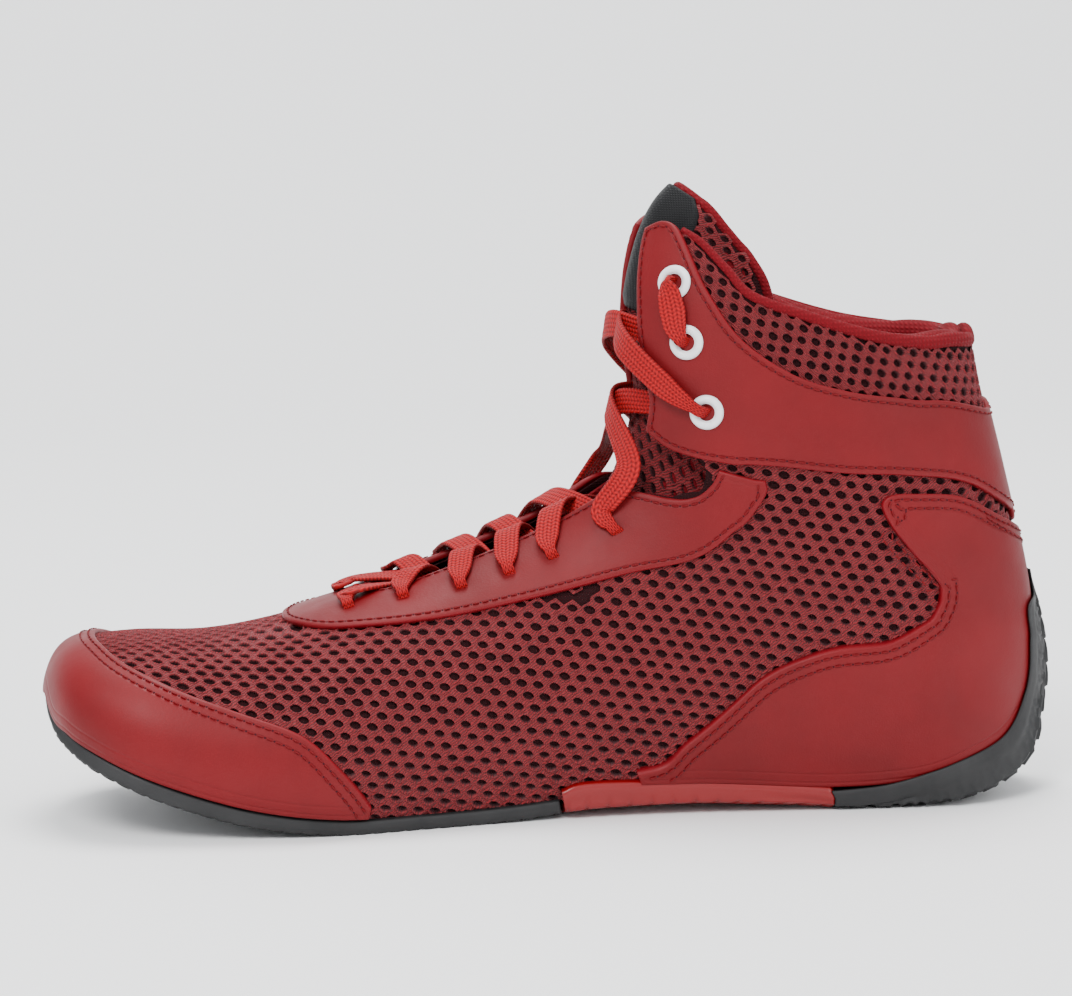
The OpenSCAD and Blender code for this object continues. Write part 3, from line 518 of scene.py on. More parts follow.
def side_map(side):
    """Tables over the lower boot of one side: where each [station, turn] lies along and across the rows."""
    k = np.arange(1.8, 18.41, 0.05)
    c = np.linspace(0, 1.12, 90)
    points = boot_point(k[:, None], side * c[None])
    x, y, z = np.moveaxis(points, -1, 0)
    along = x * math.cos(ROW_SLOPE) - z * math.sin(ROW_SLOPE)
    level = x * math.sin(ROW_SLOPE) + z * math.cos(ROW_SLOPE)
    girth = np.cumsum(np.hypot(np.diff(level, axis=1, prepend=level[:, :1]),
                               np.diff(y, axis=1, prepend=y[:, :1])), axis=1)
    widest = int(np.searchsorted(c, 0.62))
    straight = -level[:, widest] - girth[:, widest]
    straight -= straight[np.searchsorted(k, 3.6)]
    return k, c, along, girth + smoothstep(girth / 22) * straight[:, None]


def collar_map(side):
    """The same for the collar: along runs round from the back, across runs down."""
    k = np.arange(15.6, 20.41, 0.05)
    c = np.linspace(0.12, 2, 120)
    points = boot_point(k[:, None], side * c[None])
    x, y, z = np.moveaxis(points, -1, 0)
    step = np.hypot(np.diff(x, axis=1, append=x[:, -1:]), np.diff(y, axis=1, append=y[:, -1:]))
    along = np.cumsum(step[:, ::-1], axis=1)[:, ::-1]
    return k, c, along, -(z * math.cos(COLLAR_SLOPE) + x * math.sin(COLLAR_SLOPE))


def tongue_map(side):
    """The same for the tongue: along runs from the middle to the edge, across runs down."""
    k = np.arange(5.9, 20.96, 0.05)
    c = np.linspace(0, 0.5, 60)
    points = tongue_point(k[:, None], side * c[None])
    along = np.cumsum(np.linalg.norm(np.diff(points, axis=1, prepend=points[:, :1]), axis=-1), axis=1)
    middle = np.cumsum(np.linalg.norm(np.diff(points[:, 0], axis=0, prepend=points[:1, 0]), axis=-1))
    return k, c, along, np.repeat(-middle[:, None], len(c), 1)


def at_table(table, i, j):
    """Straight-line look-up in a table at fractional rows and columns, with its two slopes."""
    a = np.clip(np.floor(i).astype(int), 0, table.shape[0] - 2)
    b = np.clip(np.floor(j).astype(int), 0, table.shape[1] - 2)
    s, t = i - a, j - b
    p, q, r, w = table[a, b], table[a + 1, b], table[a, b + 1], table[a + 1, b + 1]
    value = p * (1 - s) * (1 - t) + q * s * (1 - t) + r * (1 - s) * t + w * s * t
    return value, (q - p) * (1 - t) + (w - r) * t, (r - p) * (1 - s) + (w - q) * s


def find_spots(tables, u, v, start=None):
    """The [station, turn] of fabric positions u along and v across the rows, and how far off they are."""
    k, c, along, across = tables
    if start is None:
        tree = search_tree(np.stack([along.ravel(), across.ravel(), np.zeros(along.size)], 1))
        nearest = np.array([tree.find((a, b, 0))[1] for a, b in zip(u, v)])
        i, j = np.unravel_index(nearest, along.shape)
        i, j = i.astype(float), j.astype(float)
    else:
        i, j = (start[0] - k[0]) / (k[1] - k[0]), (start[1] - c[0]) / (c[1] - c[0])
    for _ in range(8):
        a, ai, aj = at_table(along, i, j)
        b, bi, bj = at_table(across, i, j)
        det = ai * bj - aj * bi
        det = np.where(np.abs(det) < 1e-4, 1e-4, det)
        i = np.clip(i + np.clip(((u - a) * bj - (v - b) * aj) / det, -3, 3), 0, len(k) - 1.001)
        j = np.clip(j + np.clip((ai * (v - b) - bi * (u - a)) / det, -3, 3), 0, len(c) - 1.001)
    off = np.hypot(u - at_table(along, i, j)[0], v - at_table(across, i, j)[0])
    return k[0] + i * (k[1] - k[0]), c[0] + j * (c[1] - c[0]), off


def cell_rings(tilt, pitch, row):
    """The rings of one cell around its centre, from its border to the foot of the hole's wall."""
    y = (row**2 - pitch**2 / 4) / (2 * row)
    corners = np.array([[pitch / 2, y], [0, row - y], [-pitch / 2, y], [-pitch / 2, -y], [0, y - row],
                        [pitch / 2, -y]])
    border = np.concatenate([[p, (p + q) / 2] for p, q in zip(corners, np.roll(corners, -1, axis=0))])
    angle = np.arctan2(border[:, 1], border[:, 0])
    radius = 1 / np.hypot(np.cos(angle - tilt) / HOLE_RX, np.sin(angle - tilt) / HOLE_RY)
    rim = radius[:, None] * np.stack([np.cos(angle), np.sin(angle)], 1)
    rings = []
    for share, lift, _ in RINGS:
        rings.append(rim * (1 + share) if lift else rim + (border - rim) * share)
    return np.stack(rings)


def lattice(tables):
    """The fabric coordinates of every cell's centre over the tables, staggered from row to row."""
    _, _, along, across = tables
    first_u, last_u = int(along.min() / PITCH) - 1, int(along.max() / PITCH) + 1
    first_v, last_v = int(across.min() / ROW) - 1, int(across.max() / ROW) + 1
    u, v = np.meshgrid(np.arange(first_u, last_u + 1), np.arange(first_v, last_v + 1))
    return (u + 0.5 * (v % 2)).ravel() * PITCH, v.ravel() * ROW


def cell_shapes(u, v, tilt):
    """The fabric coordinates of every point of the cells, whose loops vary a little in size."""
    rings = cell_rings(tilt, PITCH, ROW)
    random = np.random.default_rng(7)
    loose = 1 + UNEVEN * random.standard_normal(len(u))
    scale = np.ones((len(u), len(rings)))
    scale[:, 2:] = loose[:, None]
    shape = rings[None] * scale[..., None, None]
    return u[:, None, None] + shape[..., 0], v[:, None, None] + shape[..., 1]


def fabric(name, tables, side, place, wanted, tilt, mirror_axis, nodes=(), body="boot"):
    """Mesh over one side. Cells whose centre is wanted are made; mirror_axis is 'v' or 'u', the fabric
    coordinate that is zero on the middle line, past which the cells carry on to the other side."""
    by_rows = mirror_axis == "v"
    u, v = lattice(tables)
    station, turn, off = find_spots(tables, u, v)
    near_middle = turn < NEAR_MIDDLE
    middle_line = 0.01 if side == OUTER else -0.01
    kept = ~near_middle | ((v if by_rows else u) > middle_line)
    kept &= (off < FIT) & wanted(station, turn)
    u, v, station, turn, near_middle = (p[kept] for p in (u, v, station, turn, near_middle))
    uu, vv = cell_shapes(u, v, tilt)
    beyond = ((vv if by_rows else uu) < 0) & near_middle[:, None, None]
    start = [np.broadcast_to(p[:, None, None], uu.shape).ravel() for p in (station, turn)]
    flip = np.where(beyond, -1, 1)
    folded = (uu, vv * flip) if by_rows else (uu * flip, vv)
    kk, cc, _ = find_spots(tables, folded[0].ravel(), folded[1].ravel(), start)
    cc = cc * np.where(beyond.ravel(), -side, side)
    by_ring = (np.array([lift for _, _, lift in RINGS]), np.linspace(0, 1, len(RINGS)))
    depth, ring = (np.broadcast_to(p[None, :, None], uu.shape).ravel() for p in by_ring)
    points = place(kk, cc, depth)
    away = place(kk, cc, depth + 1) - points
    cell_size = len(RINGS) * CELL_POINTS
    one = grid_faces(len(RINGS), CELL_POINTS, closed=True)
    faces = facing(points, repeated(one, len(u), cell_size), away)
    points, faces, pick = welded(points, faces)
    weave = np.stack([uu.ravel(), vv.ravel(), np.zeros(uu.size)], 1)[pick]
    return make(name, points, faces, MATERIALS["mesh"], nodes, body,
                {"ring": ring[pick], "weave": weave})


def welded(points, faces, grain=0.02):
    """The same faces with points at the same place made one. Also says which old point each new one is."""
    keys = np.round(points / grain).astype(np.int64)
    _, pick, back = np.unique(keys, axis=0, return_index=True, return_inverse=True)
    return points[pick], back.ravel()[faces], pick


def in_outline(k, c, outline):
    """Whether [k, c] lies inside a closed outline."""
    inside = np.zeros(k.shape, bool)
    for (k0, c0), (k1, c1) in zip(outline, np.roll(outline, -1, axis=0)):
        crosses = (c0 > c) != (c1 > c)
        at = k0 + (c - c0) * (k1 - k0) / (c1 - c0 if c1 != c0 else 1e-9)
        inside ^= crosses & (k < at)
    return inside


def under_overlay(k, c, edge_a, edge_b, margin=4.5):
    """Whether spots of either side lie under an overlay, more than the margin from its border."""
    n = 120
    a = through(edge_a, np.linspace(0, len(edge_a) - 1, n))
    b = through(edge_b, np.linspace(0, len(edge_b) - 1, n))
    outline = np.vstack([a, b[::-1]])
    c = -np.abs(c)
    inside = in_outline(k, c, outline)
    border = boot_point(*outline.T)
    spots = boot_point(k, c)
    tree = search_tree(border)
    distance = np.array([tree.find(p)[2] for p in spots])
    on_middle = np.abs(c) < 0.02
    return inside & ((distance > margin) | on_middle)


def wanted_upper(k, c):
    """The part of the lower mesh that shows, with a margin under the overlays."""
    seen = (k > 2.05) & (c < 1.06) & (k < lookup(np.abs(c), JOIN) + 0.1)
    seen &= (k < THROAT[0][0]) | (c > lookup(k, THROAT) + 0.02)
    for low, top in ((TOE_CAP_LOW, TOE_CAP_TOP), (GUARD_LOW, GUARD_TOP), (BAND_LOW, BAND_TOP),
                     (HEEL_LOW, HEEL_TOP)):
        seen &= ~under_overlay(k, c, low, top)
    return seen


def wanted_collar(k, c):
    top = lookup(c, sorted([-t, s] for s, t in COLLAR_TOP))
    low = lookup(c, sorted([-t, s] for s, t in COLLAR_LOW))
    return (k < top - 0.1) & (k > low - 0.1) & (c > 0.2) & ~under_overlay(k, c, BAND_LOW, BAND_TOP)


def wanted_tongue(k, c):
    edge = lookup(k, [[s, -t] for s, t in TONGUE_EDGE])
    return (c < edge - 0.02) & (k > TONGUE_FRONT + 0.2) & (k < 20.62)


def backing(name, spots, place, depth, thickness, material, nodes=(), body="boot"):
    """A plain knit layer under the mesh, between two depths."""
    k, c = spots[..., 0], spots[..., 1]
    outer, inner = (place(k, c, np.full_like(k, d)) for d in (depth, depth - thickness))
    points, faces = shell(outer, inner)
    return make(name, points, faces, MATERIALS[material], nodes, body)


def upper_spots(side, first=0.06):
    """A grid over one side of the lower boot, from the ridge or throat to under the sole."""
    k = np.concatenate([np.linspace(first, 2, 14)[:-1], np.linspace(2, 16, 90)])
    ahead = k < THROAT[0][0]
    top = np.where(ahead, 0, lookup(k, THROAT))
    s = np.linspace(0, 1, 26)
    c = top[:, None] + (1.25 - top[:, None]) * s
    stretch = (lookup(c, JOIN) - 13) / 3
    rows = np.where(k[:, None] < 13, k[:, None], 13 + (k[:, None] - 13) * stretch)
    return np.stack([rows, side * c], -1)


# ---- Lace: one flat braid through eighteen holes, by the CAD's own stops
PINCHED_W = 3.4
PINCHED_T = 1.8
ALL_HOLES = LACE_HOLES + EYELETS
TAIL = [[17.85, 0.245, 0.4], [17.2, 0.29, 0], [16.4, 0.335, 0], [15.4, 0.36, 0], [14.4, 0.375, 0],
        [13.4, 0.39, 0], [12.5, 0.41, 0], [11.7, 0.42, 0], [11, 0.43, 0.6], [10.8, 0.43, 1]]


def mix(a, b, t):
    return a + (b - a) * t


def stop(k, side, c, depth, flip, face_n, face_e, pinch=0.0):
    """One stop of the lace: station, turn, depth, face outward, face round the boot, width, thickness."""
    return [k, side * c, depth, flip * face_n, flip * side * face_e,
            mix(LACE_W, PINCHED_W, pinch), mix(LACE_T, PINCHED_T, pinch)]


def climb(spot, side, flip, low, high):
    """Up a hole from the inside, coming from the throat and going back to it."""
    k, c = spot
    return [stop(k, side, c - 0.05, low, flip, -1, 0, 0.5),
            stop(k, side, c, low + 0.7, flip, 0, 1, 1),
            stop(k, side, c, high - 1.2, flip, 0, 1, 1),
            stop(k, side, c - 0.015, high + 0.4, flip, 1, 1, 1),
            stop(k + 0.05, side, c - 0.07, high + 0.3, flip, 1, 0, 0.2)]


def cross_over(a, b, side, flip, lift):
    """From the top of one side, over the tongue, to under the other side."""
    near, middle, far = (mix(a[0], b[0], share) for share in (0.3, 0.5, 0.72))
    middle = max(middle, THROAT[0][0] + 0.35)
    far = max(far, THROAT[0][0] + 0.3)
    above_lining = far > SHELL_END
    reach, under = (0.98, -MESH_T - LACE_T) if above_lining else (0.7, BELOW)
    above_tongue = 4 * LACE_CLEAR + 2 * LACE_T
    return [stop(near, side, lookup(near, THROAT) * 0.7, OVER + 0.8, flip, 1, 0),
            stop(middle, side, 0, max(-1.2, tongue_depth(middle, 0) + above_tongue) + lift, flip, 1, 0),
            stop(far, -side, lookup(far, THROAT) * reach, under, flip, 1, 0, 0.3)]


def half_lace(side):
    """One half of the lace, from the middle of the bar under the front holes to its end."""
    stops = [stop(ALL_HOLES[0][0], side, 0.03, BELOW, 1, -1, 0, 0.3)]
    for i in range(7):
        flip = (-1) ** i
        low, high = (BELOW_WASHER, OVER_FLANGE) if i > 5 else (BELOW, OVER)
        stops += climb(ALL_HOLES[i], side * flip, flip, low, high)
        stops += cross_over(ALL_HOLES[i], ALL_HOLES[i + 1], side * flip, flip, side * 0.9)
    (mid_k, mid_c), (top_k, top_c) = EYELETS[1:]
    s = -side
    stops += [
        stop(mid_k, s, mid_c - 0.05, BELOW_WASHER, -1, -1, 0, 0.5),
        stop(mid_k, s, mid_c, BELOW_WASHER + 0.7, -1, 0, 1, 1),
        stop(mid_k, s, mid_c, OVER_FLANGE - 1.2, -1, 0, 1, 1),
        stop(mid_k + 0.08, s, mid_c, OVER_FLANGE + 0.5, -1, 1, 1, 0.8),
        stop(mid_k + 0.3, s, mid_c - 0.01, OVER_FLANGE + 0.5, -1, 1, 0.2, 0.3),
        stop(mix(mid_k, top_k, 0.5), s, mix(mid_c, top_c, 0.5), OVER_FLANGE + 0.2, -1, 1, 0.3, 0.1),
        stop(top_k - 0.3, s, top_c + 0.01, OVER_FLANGE + 0.5, -1, 1, 0.2, 0.3),
        stop(top_k - 0.08, s, top_c, OVER_FLANGE + 0.5, -1, 1, -1, 0.8),
        stop(top_k, s, top_c, OVER_FLANGE - 1.2, -1, 0, -1, 1),
        stop(top_k, s, top_c, BELOW_WASHER + 0.5, -1, 0, -1, 1),
    ]
    return stops + [stop(k, s, c, BELOW_WASHER, -1, -1, 0, pinch) for k, c, pinch in TAIL]


def ribbon_section(count=36, ribs=6):
    """The outline of a flat braid: across and through, each from -1/2 to 1/2, with ribs on both faces."""
    angle = np.linspace(0, 2 * np.pi, count, endpoint=False)
    across = np.sign(np.cos(angle)) * np.abs(np.cos(angle)) ** 0.75 / 2
    through_it = np.sign(np.sin(angle)) * np.abs(np.sin(angle)) ** 0.35 / 2
    ribbed = 1 - 0.2 * np.abs(np.cos(np.pi * ribs * (across + 0.5)))
    return across, through_it * ribbed


def lace():
    """The lace as one swept braid."""
    stops = np.array(half_lace(-1)[::-1] + half_lace(1))
    k, c, depth, face_n, face_e, width, thick = stops.T
    pinched = width <= PINCHED_W
    centre = np.where(pinched[:, None], boot_point(k, c) + depth[:, None] * outward(k, c),
                      boot_point(k, c, depth))
    wish = face_n[:, None] * outward(k, c) + face_e[:, None] * round_boot(k, c)
    x = np.linspace(0, len(stops) - 1, 1500)
    path = through(centre, x)
    forward = unit(np.gradient(path, axis=0))
    wish = np.stack([np.interp(x, np.arange(len(stops)), wish[:, n]) for n in range(3)], 1)
    face = unit(wish - np.sum(wish * forward, axis=1, keepdims=True) * forward)
    aside = np.cross(forward, face)
    width = np.interp(x, np.arange(len(stops)), width)
    thick = np.interp(x, np.arange(len(stops)), thick)
    across, up = ribbon_section()
    points = (path[:, None] + aside[:, None] * (width[:, None] * across)[..., None]
              + face[:, None] * (thick[:, None] * up)[..., None])
    run = np.concatenate([[0], np.cumsum(np.linalg.norm(np.diff(path, axis=0), axis=1))])
    weave = np.stack([np.repeat(run[:, None], len(across), 1), np.tile(across, (len(x), 1)),
                      np.tile(np.sign(up) * 0.5, (len(x), 1))], -1).reshape(-1, 3)
    faces = grid_faces(len(x), len(across), closed=True)
    away = (points - path[:, None]).reshape(-1, 3)
    points = points.reshape(-1, 3)
    return make("braided_lace", points, facing(points, faces, away), MATERIALS["lace"], ["lace"],
                values={"weave": weave})


# ---- Soles
def sole_panel(name, edge, along, across, depth, material):
    """A sole piece from its edge on one side to its edge on the other. depth gives its outside and inside."""
    reach = len(edge) - 1
    u = np.linspace(0, reach, along)
    a = through(edge, u)
    b = through(other_side(edge), u)
    s = 0.5 - 0.5 * np.cos(np.linspace(0, np.pi, across))
    s = mix(np.linspace(0, 1, across), s, 0.45)[:, None]
    spots = a[:, None] * (1 - s) + b[:, None] * s
    k, c = spots[..., 0], spots[..., 1]
    s = np.broadcast_to(s[:, 0], k.shape)
    bare = boot_point(k, c, 2.0)
    run = np.linalg.norm(np.diff(bare, axis=0, prepend=bare[:1]), axis=-1).cumsum(0)
    span = np.linalg.norm(np.diff(bare, axis=1, prepend=bare[:, :1]), axis=-1).cumsum(1)
    inwards = np.minimum(span, span[:, -1:] - span)
    outer, inner = depth(k, s, run, span, inwards)
    top = boot_point(k, c, outer)
    top[..., 2] = np.maximum(top[..., 2], 0)
    points, faces = shell(top, boot_point(k, c, inner))
    return make(name, points, faces, MATERIALS[material], [name])


def edge_share(s, pairs):
    return lookup(0.5 - np.abs(s - 0.5), pairs)


def ring_relief(along, across, pitch=7.2, radius=2.1, thick=0.75):
    """Raised rings on a staggered lattice: 1 on a ring, 0 between."""
    row = pitch * math.sqrt(3) / 2
    j = np.round(across / row)
    i = np.round(along / pitch - 0.5 * (j % 2))
    r = np.hypot(along - (i + 0.5 * (j % 2)) * pitch, across - j * row)
    return 1 - smoothstep((np.abs(r - radius) - thick * 0.45) / (thick * 0.5))


def forefoot_depth(k, s, run, span, inwards):
    thick = lookup(k, SOLE_THICKNESS) * edge_share(s, [[0, 0.25], [0.03, 0.85], [0.08, 1]])
    tread = smoothstep((inwards - 1.5) / 2)
    relief = 0.3 * ring_relief(run, span, 5.0, 1.4, 0.7) * tread
    return np.maximum(thick, SOLE_GAP + THINNEST_SOLE) - 0.3 * tread + relief, np.full_like(k, SOLE_GAP)


def shank_depth(k, s, run, span, inwards):
    thick = lookup(k, SOLE_THICKNESS) * edge_share(s, [[0, 0.4], [0.03, 0.75], [0.1, 1]])
    bead = np.exp(-((inwards - 3.2) / 0.5) ** 2)
    slanted = (run + 0.45 * inwards) % 6.3
    ribs = np.exp(-((slanted - 3.1) / 0.7) ** 2) * smoothstep((inwards - 4.2) / 0.6) * (inwards < 9)
    return thick - 0.35 * bead - 0.5 * ribs, np.full_like(k, SOLE_GAP)


def heel_depth(k, s, run, span, inwards):
    over = HEEL_GAP + OVERLAY_T + 2 * SOLE_GAP
    inner = np.where((k < 12.8) & (np.abs(s - 0.5) < 0.45), SOLE_GAP, over)
    share = edge_share(s, [[0, 0], [0.04, 0.7], [0.12, 1]])
    thick = mix(over + 0.4, lookup(k, SOLE_THICKNESS), share)
    relief = ring_relief(run, inwards - 7.5) * smoothstep((inwards - 5) / 0.8)
    lip = smoothstep((inwards - 4.2) / 0.8)
    return thick - 0.5 * lip + 0.75 * relief * share, inner


# ---- Bound edges: knit tubes along a line
def binding(name, edge, place, radius, depth, material, body="boot"):
    """A soft tube along an edge; radius and depth are lists over the edge's length."""
    n = 260
    x = np.linspace(0, 1, n)
    line = through(edge, x * (len(edge) - 1))
    k, c = line.T
    r = np.interp(x, np.linspace(0, 1, len(radius)), radius)
    d = np.interp(x, np.linspace(0, 1, len(depth)), depth)
    centre = place(k, c, d)
    forward = unit(np.gradient(centre, axis=0))
    up = outward(k, c)
    up = unit(up - np.sum(up * forward, axis=1, keepdims=True) * forward)
    aside = np.cross(forward, up)
    angle = np.linspace(0, 2 * np.pi, 17)[:-1]
    around = up[:, None] * np.sin(angle)[None, :, None] + aside[:, None] * np.cos(angle)[None, :, None] * 1.15
    points = centre[:, None] + r[:, None, None] * around
    faces = grid_faces(n, 16, closed=True)
    away = around.reshape(-1, 3)
    points = points.reshape(-1, 3)
    return make(name, points, facing(points, faces, away), MATERIALS[material], body=body)


# ---- Padded pieces: a closed pad, swollen by cloth simulation
def swollen(name, points, faces, voxel, cap, material, nodes, body="boot"):
    """A padded piece: remeshed, puffed up by cloth pressure, and moved by at most the cap (millimetres)."""
    piece = make(name, points, faces, MATERIALS[material], nodes, body)
    bpy.context.view_layer.objects.active = piece
    remesh = piece.modifiers.new("Remesh", "REMESH")
    remesh.mode = "VOXEL"
    remesh.voxel_size = voxel * MM
    apply_modifiers(piece)
    before = coordinates(piece)
    cloth = piece.modifiers.new("Cloth", "CLOTH")
    cloth.settings.use_pressure = True
    cloth.settings.uniform_pressure_force = 4
    cloth.settings.effector_weights.gravity = 0
    cloth.point_cache.frame_start = 1
    cloth.point_cache.frame_end = 20
    for number in range(1, 21):
        scene.frame_set(number)
    apply_modifiers(piece)
    scene.frame_set(1)
    moved = coordinates(piece) - before
    far = np.linalg.norm(moved, axis=1, keepdims=True)
    moved *= np.minimum(1, cap * MM / np.maximum(far, 1e-9))
    piece.data.vertices.foreach_set("co", (before + moved).ravel())
    smooth = piece.modifiers.new("Smooth", "SMOOTH")
    smooth.iterations = 4
    finer = piece.modifiers.new("Finer", "SUBSURF")
    finer.levels = 1
    apply_modifiers(piece)
    piece.data.shade_smooth()
    return piece


def coordinates(piece):
    flat = np.empty(len(piece.data.vertices) * 3, np.float32)
    piece.data.vertices.foreach_get("co", flat)
    return flat.reshape(-1, 3)


def apply_modifiers(piece):
    """Bake the modifiers into the mesh."""
    seen = piece.evaluated_get(bpy.context.evaluated_depsgraph_get())
    mesh = bpy.data.meshes.new_from_object(seen)
    piece.modifiers.clear()
    piece.data = mesh


def pad(edge_a, edge_b, along, steps, inner, outer, place=boot_point):
    """A closed pad between two edges; inner and outer are depths over the steps."""
    reach = len(edge_a) - 1
    u = np.linspace(0, reach, along)
    steps = np.asarray(steps)[:, None]
    spots = through(edge_a, u)[:, None] * (1 - steps) + through(edge_b, u)[:, None] * steps
    k, c = spots[..., 0], spots[..., 1]
    return shell(place(k, c, np.broadcast_to(outer, k.shape)), place(k, c, np.broadcast_to(inner, k.shape)))


def collar_pad():
    """The lined foam of the collar, which rolls over the rim."""
    top = [[k + 0.25, c] for k, c in PAD_TOP]
    low = [[k - 0.2, c] for k, c in PAD_LOW]
    steps = [0, 0.04, 0.2, 0.4, 0.6, 0.8, 0.93, 0.98, 1]
    outer = np.array([-6, -4.8, -4.5, -4.5, -4.5, -4.3, -1.6, -1.9, -4])
    inner = np.array([-7, -8.8, -9.5, -9.6, -9.6, -9.6, -9.3, -8, -5.5])
    points, faces = pad(across_back(low), across_back(top), 120, steps, inner, outer)
    return swollen("collar_pad", points, faces, 1.6, 0.8, "lining",
                   ["collar_foam", "collar_lining"])


def tongue_pad():
    """The lined foam under the tongue's mesh."""
    edge = np.array(TONGUE_EDGE)
    top = -MESH_T - GAP
    bottom = top - TONGUE_FOAM_T - LINING_T
    steps = np.linspace(0, 1, 15)
    drop = np.minimum(1, 6 * np.minimum(steps, 1 - steps)) ** 0.5
    points, faces = pad(edge.tolist(), [[k, -c] for k, c in TONGUE_EDGE], 90, steps,
                        mix(top - 1.2, bottom, drop), np.full(15, top), tongue_point)
    return swollen("tongue_pad", points, faces, 1.6, 0.6, "lining",
                   ["tongue_foam", "tongue_lining"], "tongue")


def sockliner():
    """The loose insole: a crowned pad with a knit top."""
    steps = np.array([0, 0.03, 0.1, 0.3, 0.5, 0.7, 0.9, 0.97, 1])
    lowest = FOAM_OUTER - 1.5 - GAP
    rise = np.array([1.2, 2.8, 3.3, 3.5, 3.5, 3.5, 3.3, 2.8, 1.2])
    points, faces = pad(INSOLE_EDGE, other_side(INSOLE_EDGE), 90, steps, lowest - rise, np.full(9, lowest))
    return make("cushioned_sockliner", points, faces, MATERIALS["insole"], ["sockliner"])


def label():
    """The plain woven label on the tongue, with its turned-in ends."""
    spots = panel_spots(LABEL_EDGE, [[k, -c] for k, c in LABEL_EDGE], 1.0, tongue_point)
    k, c = spots[..., 0], spots[..., 1]
    flat = tongue_point(k, c).reshape(-1, 3)
    distance, _ = edge_distance(flat, flat[border_of(*k.shape)])
    lift = 0.35 + 0.55 * np.sqrt(np.clip(distance / 0.6, 0, 1)).reshape(k.shape)
    points, faces = shell(tongue_point(k, c, lift), tongue_point(k, c, np.full_like(k, 0.1)))
    values = {"edge": np.concatenate([distance, np.zeros_like(distance)])}
    return make("woven_label", points, faces, MATERIALS["label"], ["tongue_label"], "tongue",
                values)


# ---- Materials
def shader(name):
    """A new material with its nodes, its links and its main shader."""
    material = bpy.data.materials.new(name)
    material.use_nodes = True
    tree = material.node_tree
    return material, tree.nodes, tree.links, tree.nodes["Principled BSDF"]


def node(nodes, kind, **settings):
    """A node with its properties and its unlinked inputs set by name."""
    new = nodes.new(kind)
    for key, value in settings.items():
        if hasattr(new, key):
            setattr(new, key, value)
        else:
            new.inputs[key.replace("_", " ")].default_value = value
    return new


def noise(nodes, links, scale, detail=3.0, rough=0.55):
    where = node(nodes, "ShaderNodeTexCoord")
    made = node(nodes, "ShaderNodeTexNoise", Scale=scale, Detail=detail, Roughness=rough)
    links.new(where.outputs["Object"], made.inputs["Vector"])
    return made.outputs["Fac"]


def blend_colours(nodes, links, factor, a, b):
    mixed = node(nodes, "ShaderNodeMix", data_type="RGBA")
    mixed.inputs[6].default_value = (*a, 1)
    mixed.inputs[7].default_value = (*b, 1)
    if factor is not None:
        links.new(factor, mixed.inputs[0])
    return mixed.outputs[2]


def ramp(nodes, links, value, low, high):
    """The value, 0 at low and 1 at high."""
    made = node(nodes, "ShaderNodeMapRange", From_Min=low, From_Max=high)
    links.new(value, made.inputs["Value"])
    return made.outputs["Result"]


def calc(nodes, links, operation, a, b=None):
    made = node(nodes, "ShaderNodeMath", operation=operation)
    for socket, value in zip(made.inputs, (a, b)):
        if value is None:
            continue
        if isinstance(value, (int, float)):
            socket.default_value = value
        else:
            links.new(value, socket)
    return made.outputs[0]


def bump(nodes, links, shader_node, height, distance, strength=1.0):
    made = node(nodes, "ShaderNodeBump", Strength=strength, Distance=distance * MM)
    links.new(height, made.inputs["Height"])
    links.new(made.outputs["Normal"], shader_node.inputs["Normal"])


def stored(nodes, name, output="Fac"):
    made = node(nodes, "ShaderNodeAttribute", attribute_name=name)
    return made.outputs[output]


def groove(nodes, links, edge, at, half_width=0.55):
    """1 in the pressed line at a distance from the edge, falling to 0 beside it."""
    off = calc(nodes, links, "ABSOLUTE", calc(nodes, links, "SUBTRACT", edge, at))
    return ramp(nodes, links, off, half_width, 0.05)


LEATHER = ((0.145, 0.0005, 0.003), (0.11, 0.0003, 0.002))
LEATHER_LIP = (0.2, 0.004, 0.01)


def leather(double):
    """Coated synthetic leather: fine grain, with a pressed line along each row of stitches."""
    material, nodes, links, main = shader("coated_leather_double" if double else "coated_leather")
    edge = stored(nodes, "edge")
    tone = ramp(nodes, links, noise(nodes, links, 28, 4), 0.35, 0.68)
    colour = blend_colours(nodes, links, tone, *LEATHER)
    lip = node(nodes, "ShaderNodeMix", data_type="RGBA")
    links.new(colour, lip.inputs[6])
    lip.inputs[7].default_value = (*LEATHER_LIP, 1)
    links.new(calc(nodes, links, "MULTIPLY", ramp(nodes, links, edge, 0.5, 0.1), 0.45), lip.inputs[0])
    links.new(lip.outputs[2], main.inputs["Base Color"])
    pressed = groove(nodes, links, edge, STITCH_ROWS[0])
    if double:
        pressed = calc(nodes, links, "MAXIMUM", pressed, groove(nodes, links, edge, STITCH_ROWS[1]))
    where = node(nodes, "ShaderNodeTexCoord")
    cells = node(nodes, "ShaderNodeTexVoronoi", Scale=1700)
    links.new(where.outputs["Object"], cells.inputs["Vector"])
    grain = calc(nodes, links, "MULTIPLY", cells.outputs["Distance"], 0.10)
    fine = calc(nodes, links, "MULTIPLY", noise(nodes, links, 900, 4), 0.16)
    grain = calc(nodes, links, "ADD", grain, fine)
    height = calc(nodes, links, "SUBTRACT", grain, calc(nodes, links, "MULTIPLY", pressed, 0.55))
    wave = calc(nodes, links, "MULTIPLY", noise(nodes, links, 90, 2), 0.5)
    bump(nodes, links, main, calc(nodes, links, "ADD", height, wave), 0.35, 0.6)
    rough = node(nodes, "ShaderNodeMapRange", From_Min=0.3, From_Max=0.7, To_Min=0.46, To_Max=0.58)
    links.new(noise(nodes, links, 60, 3), rough.inputs["Value"])
    links.new(rough.outputs["Result"], main.inputs["Roughness"])
    main.inputs["Specular IOR Level"].default_value = 0.25
    return material


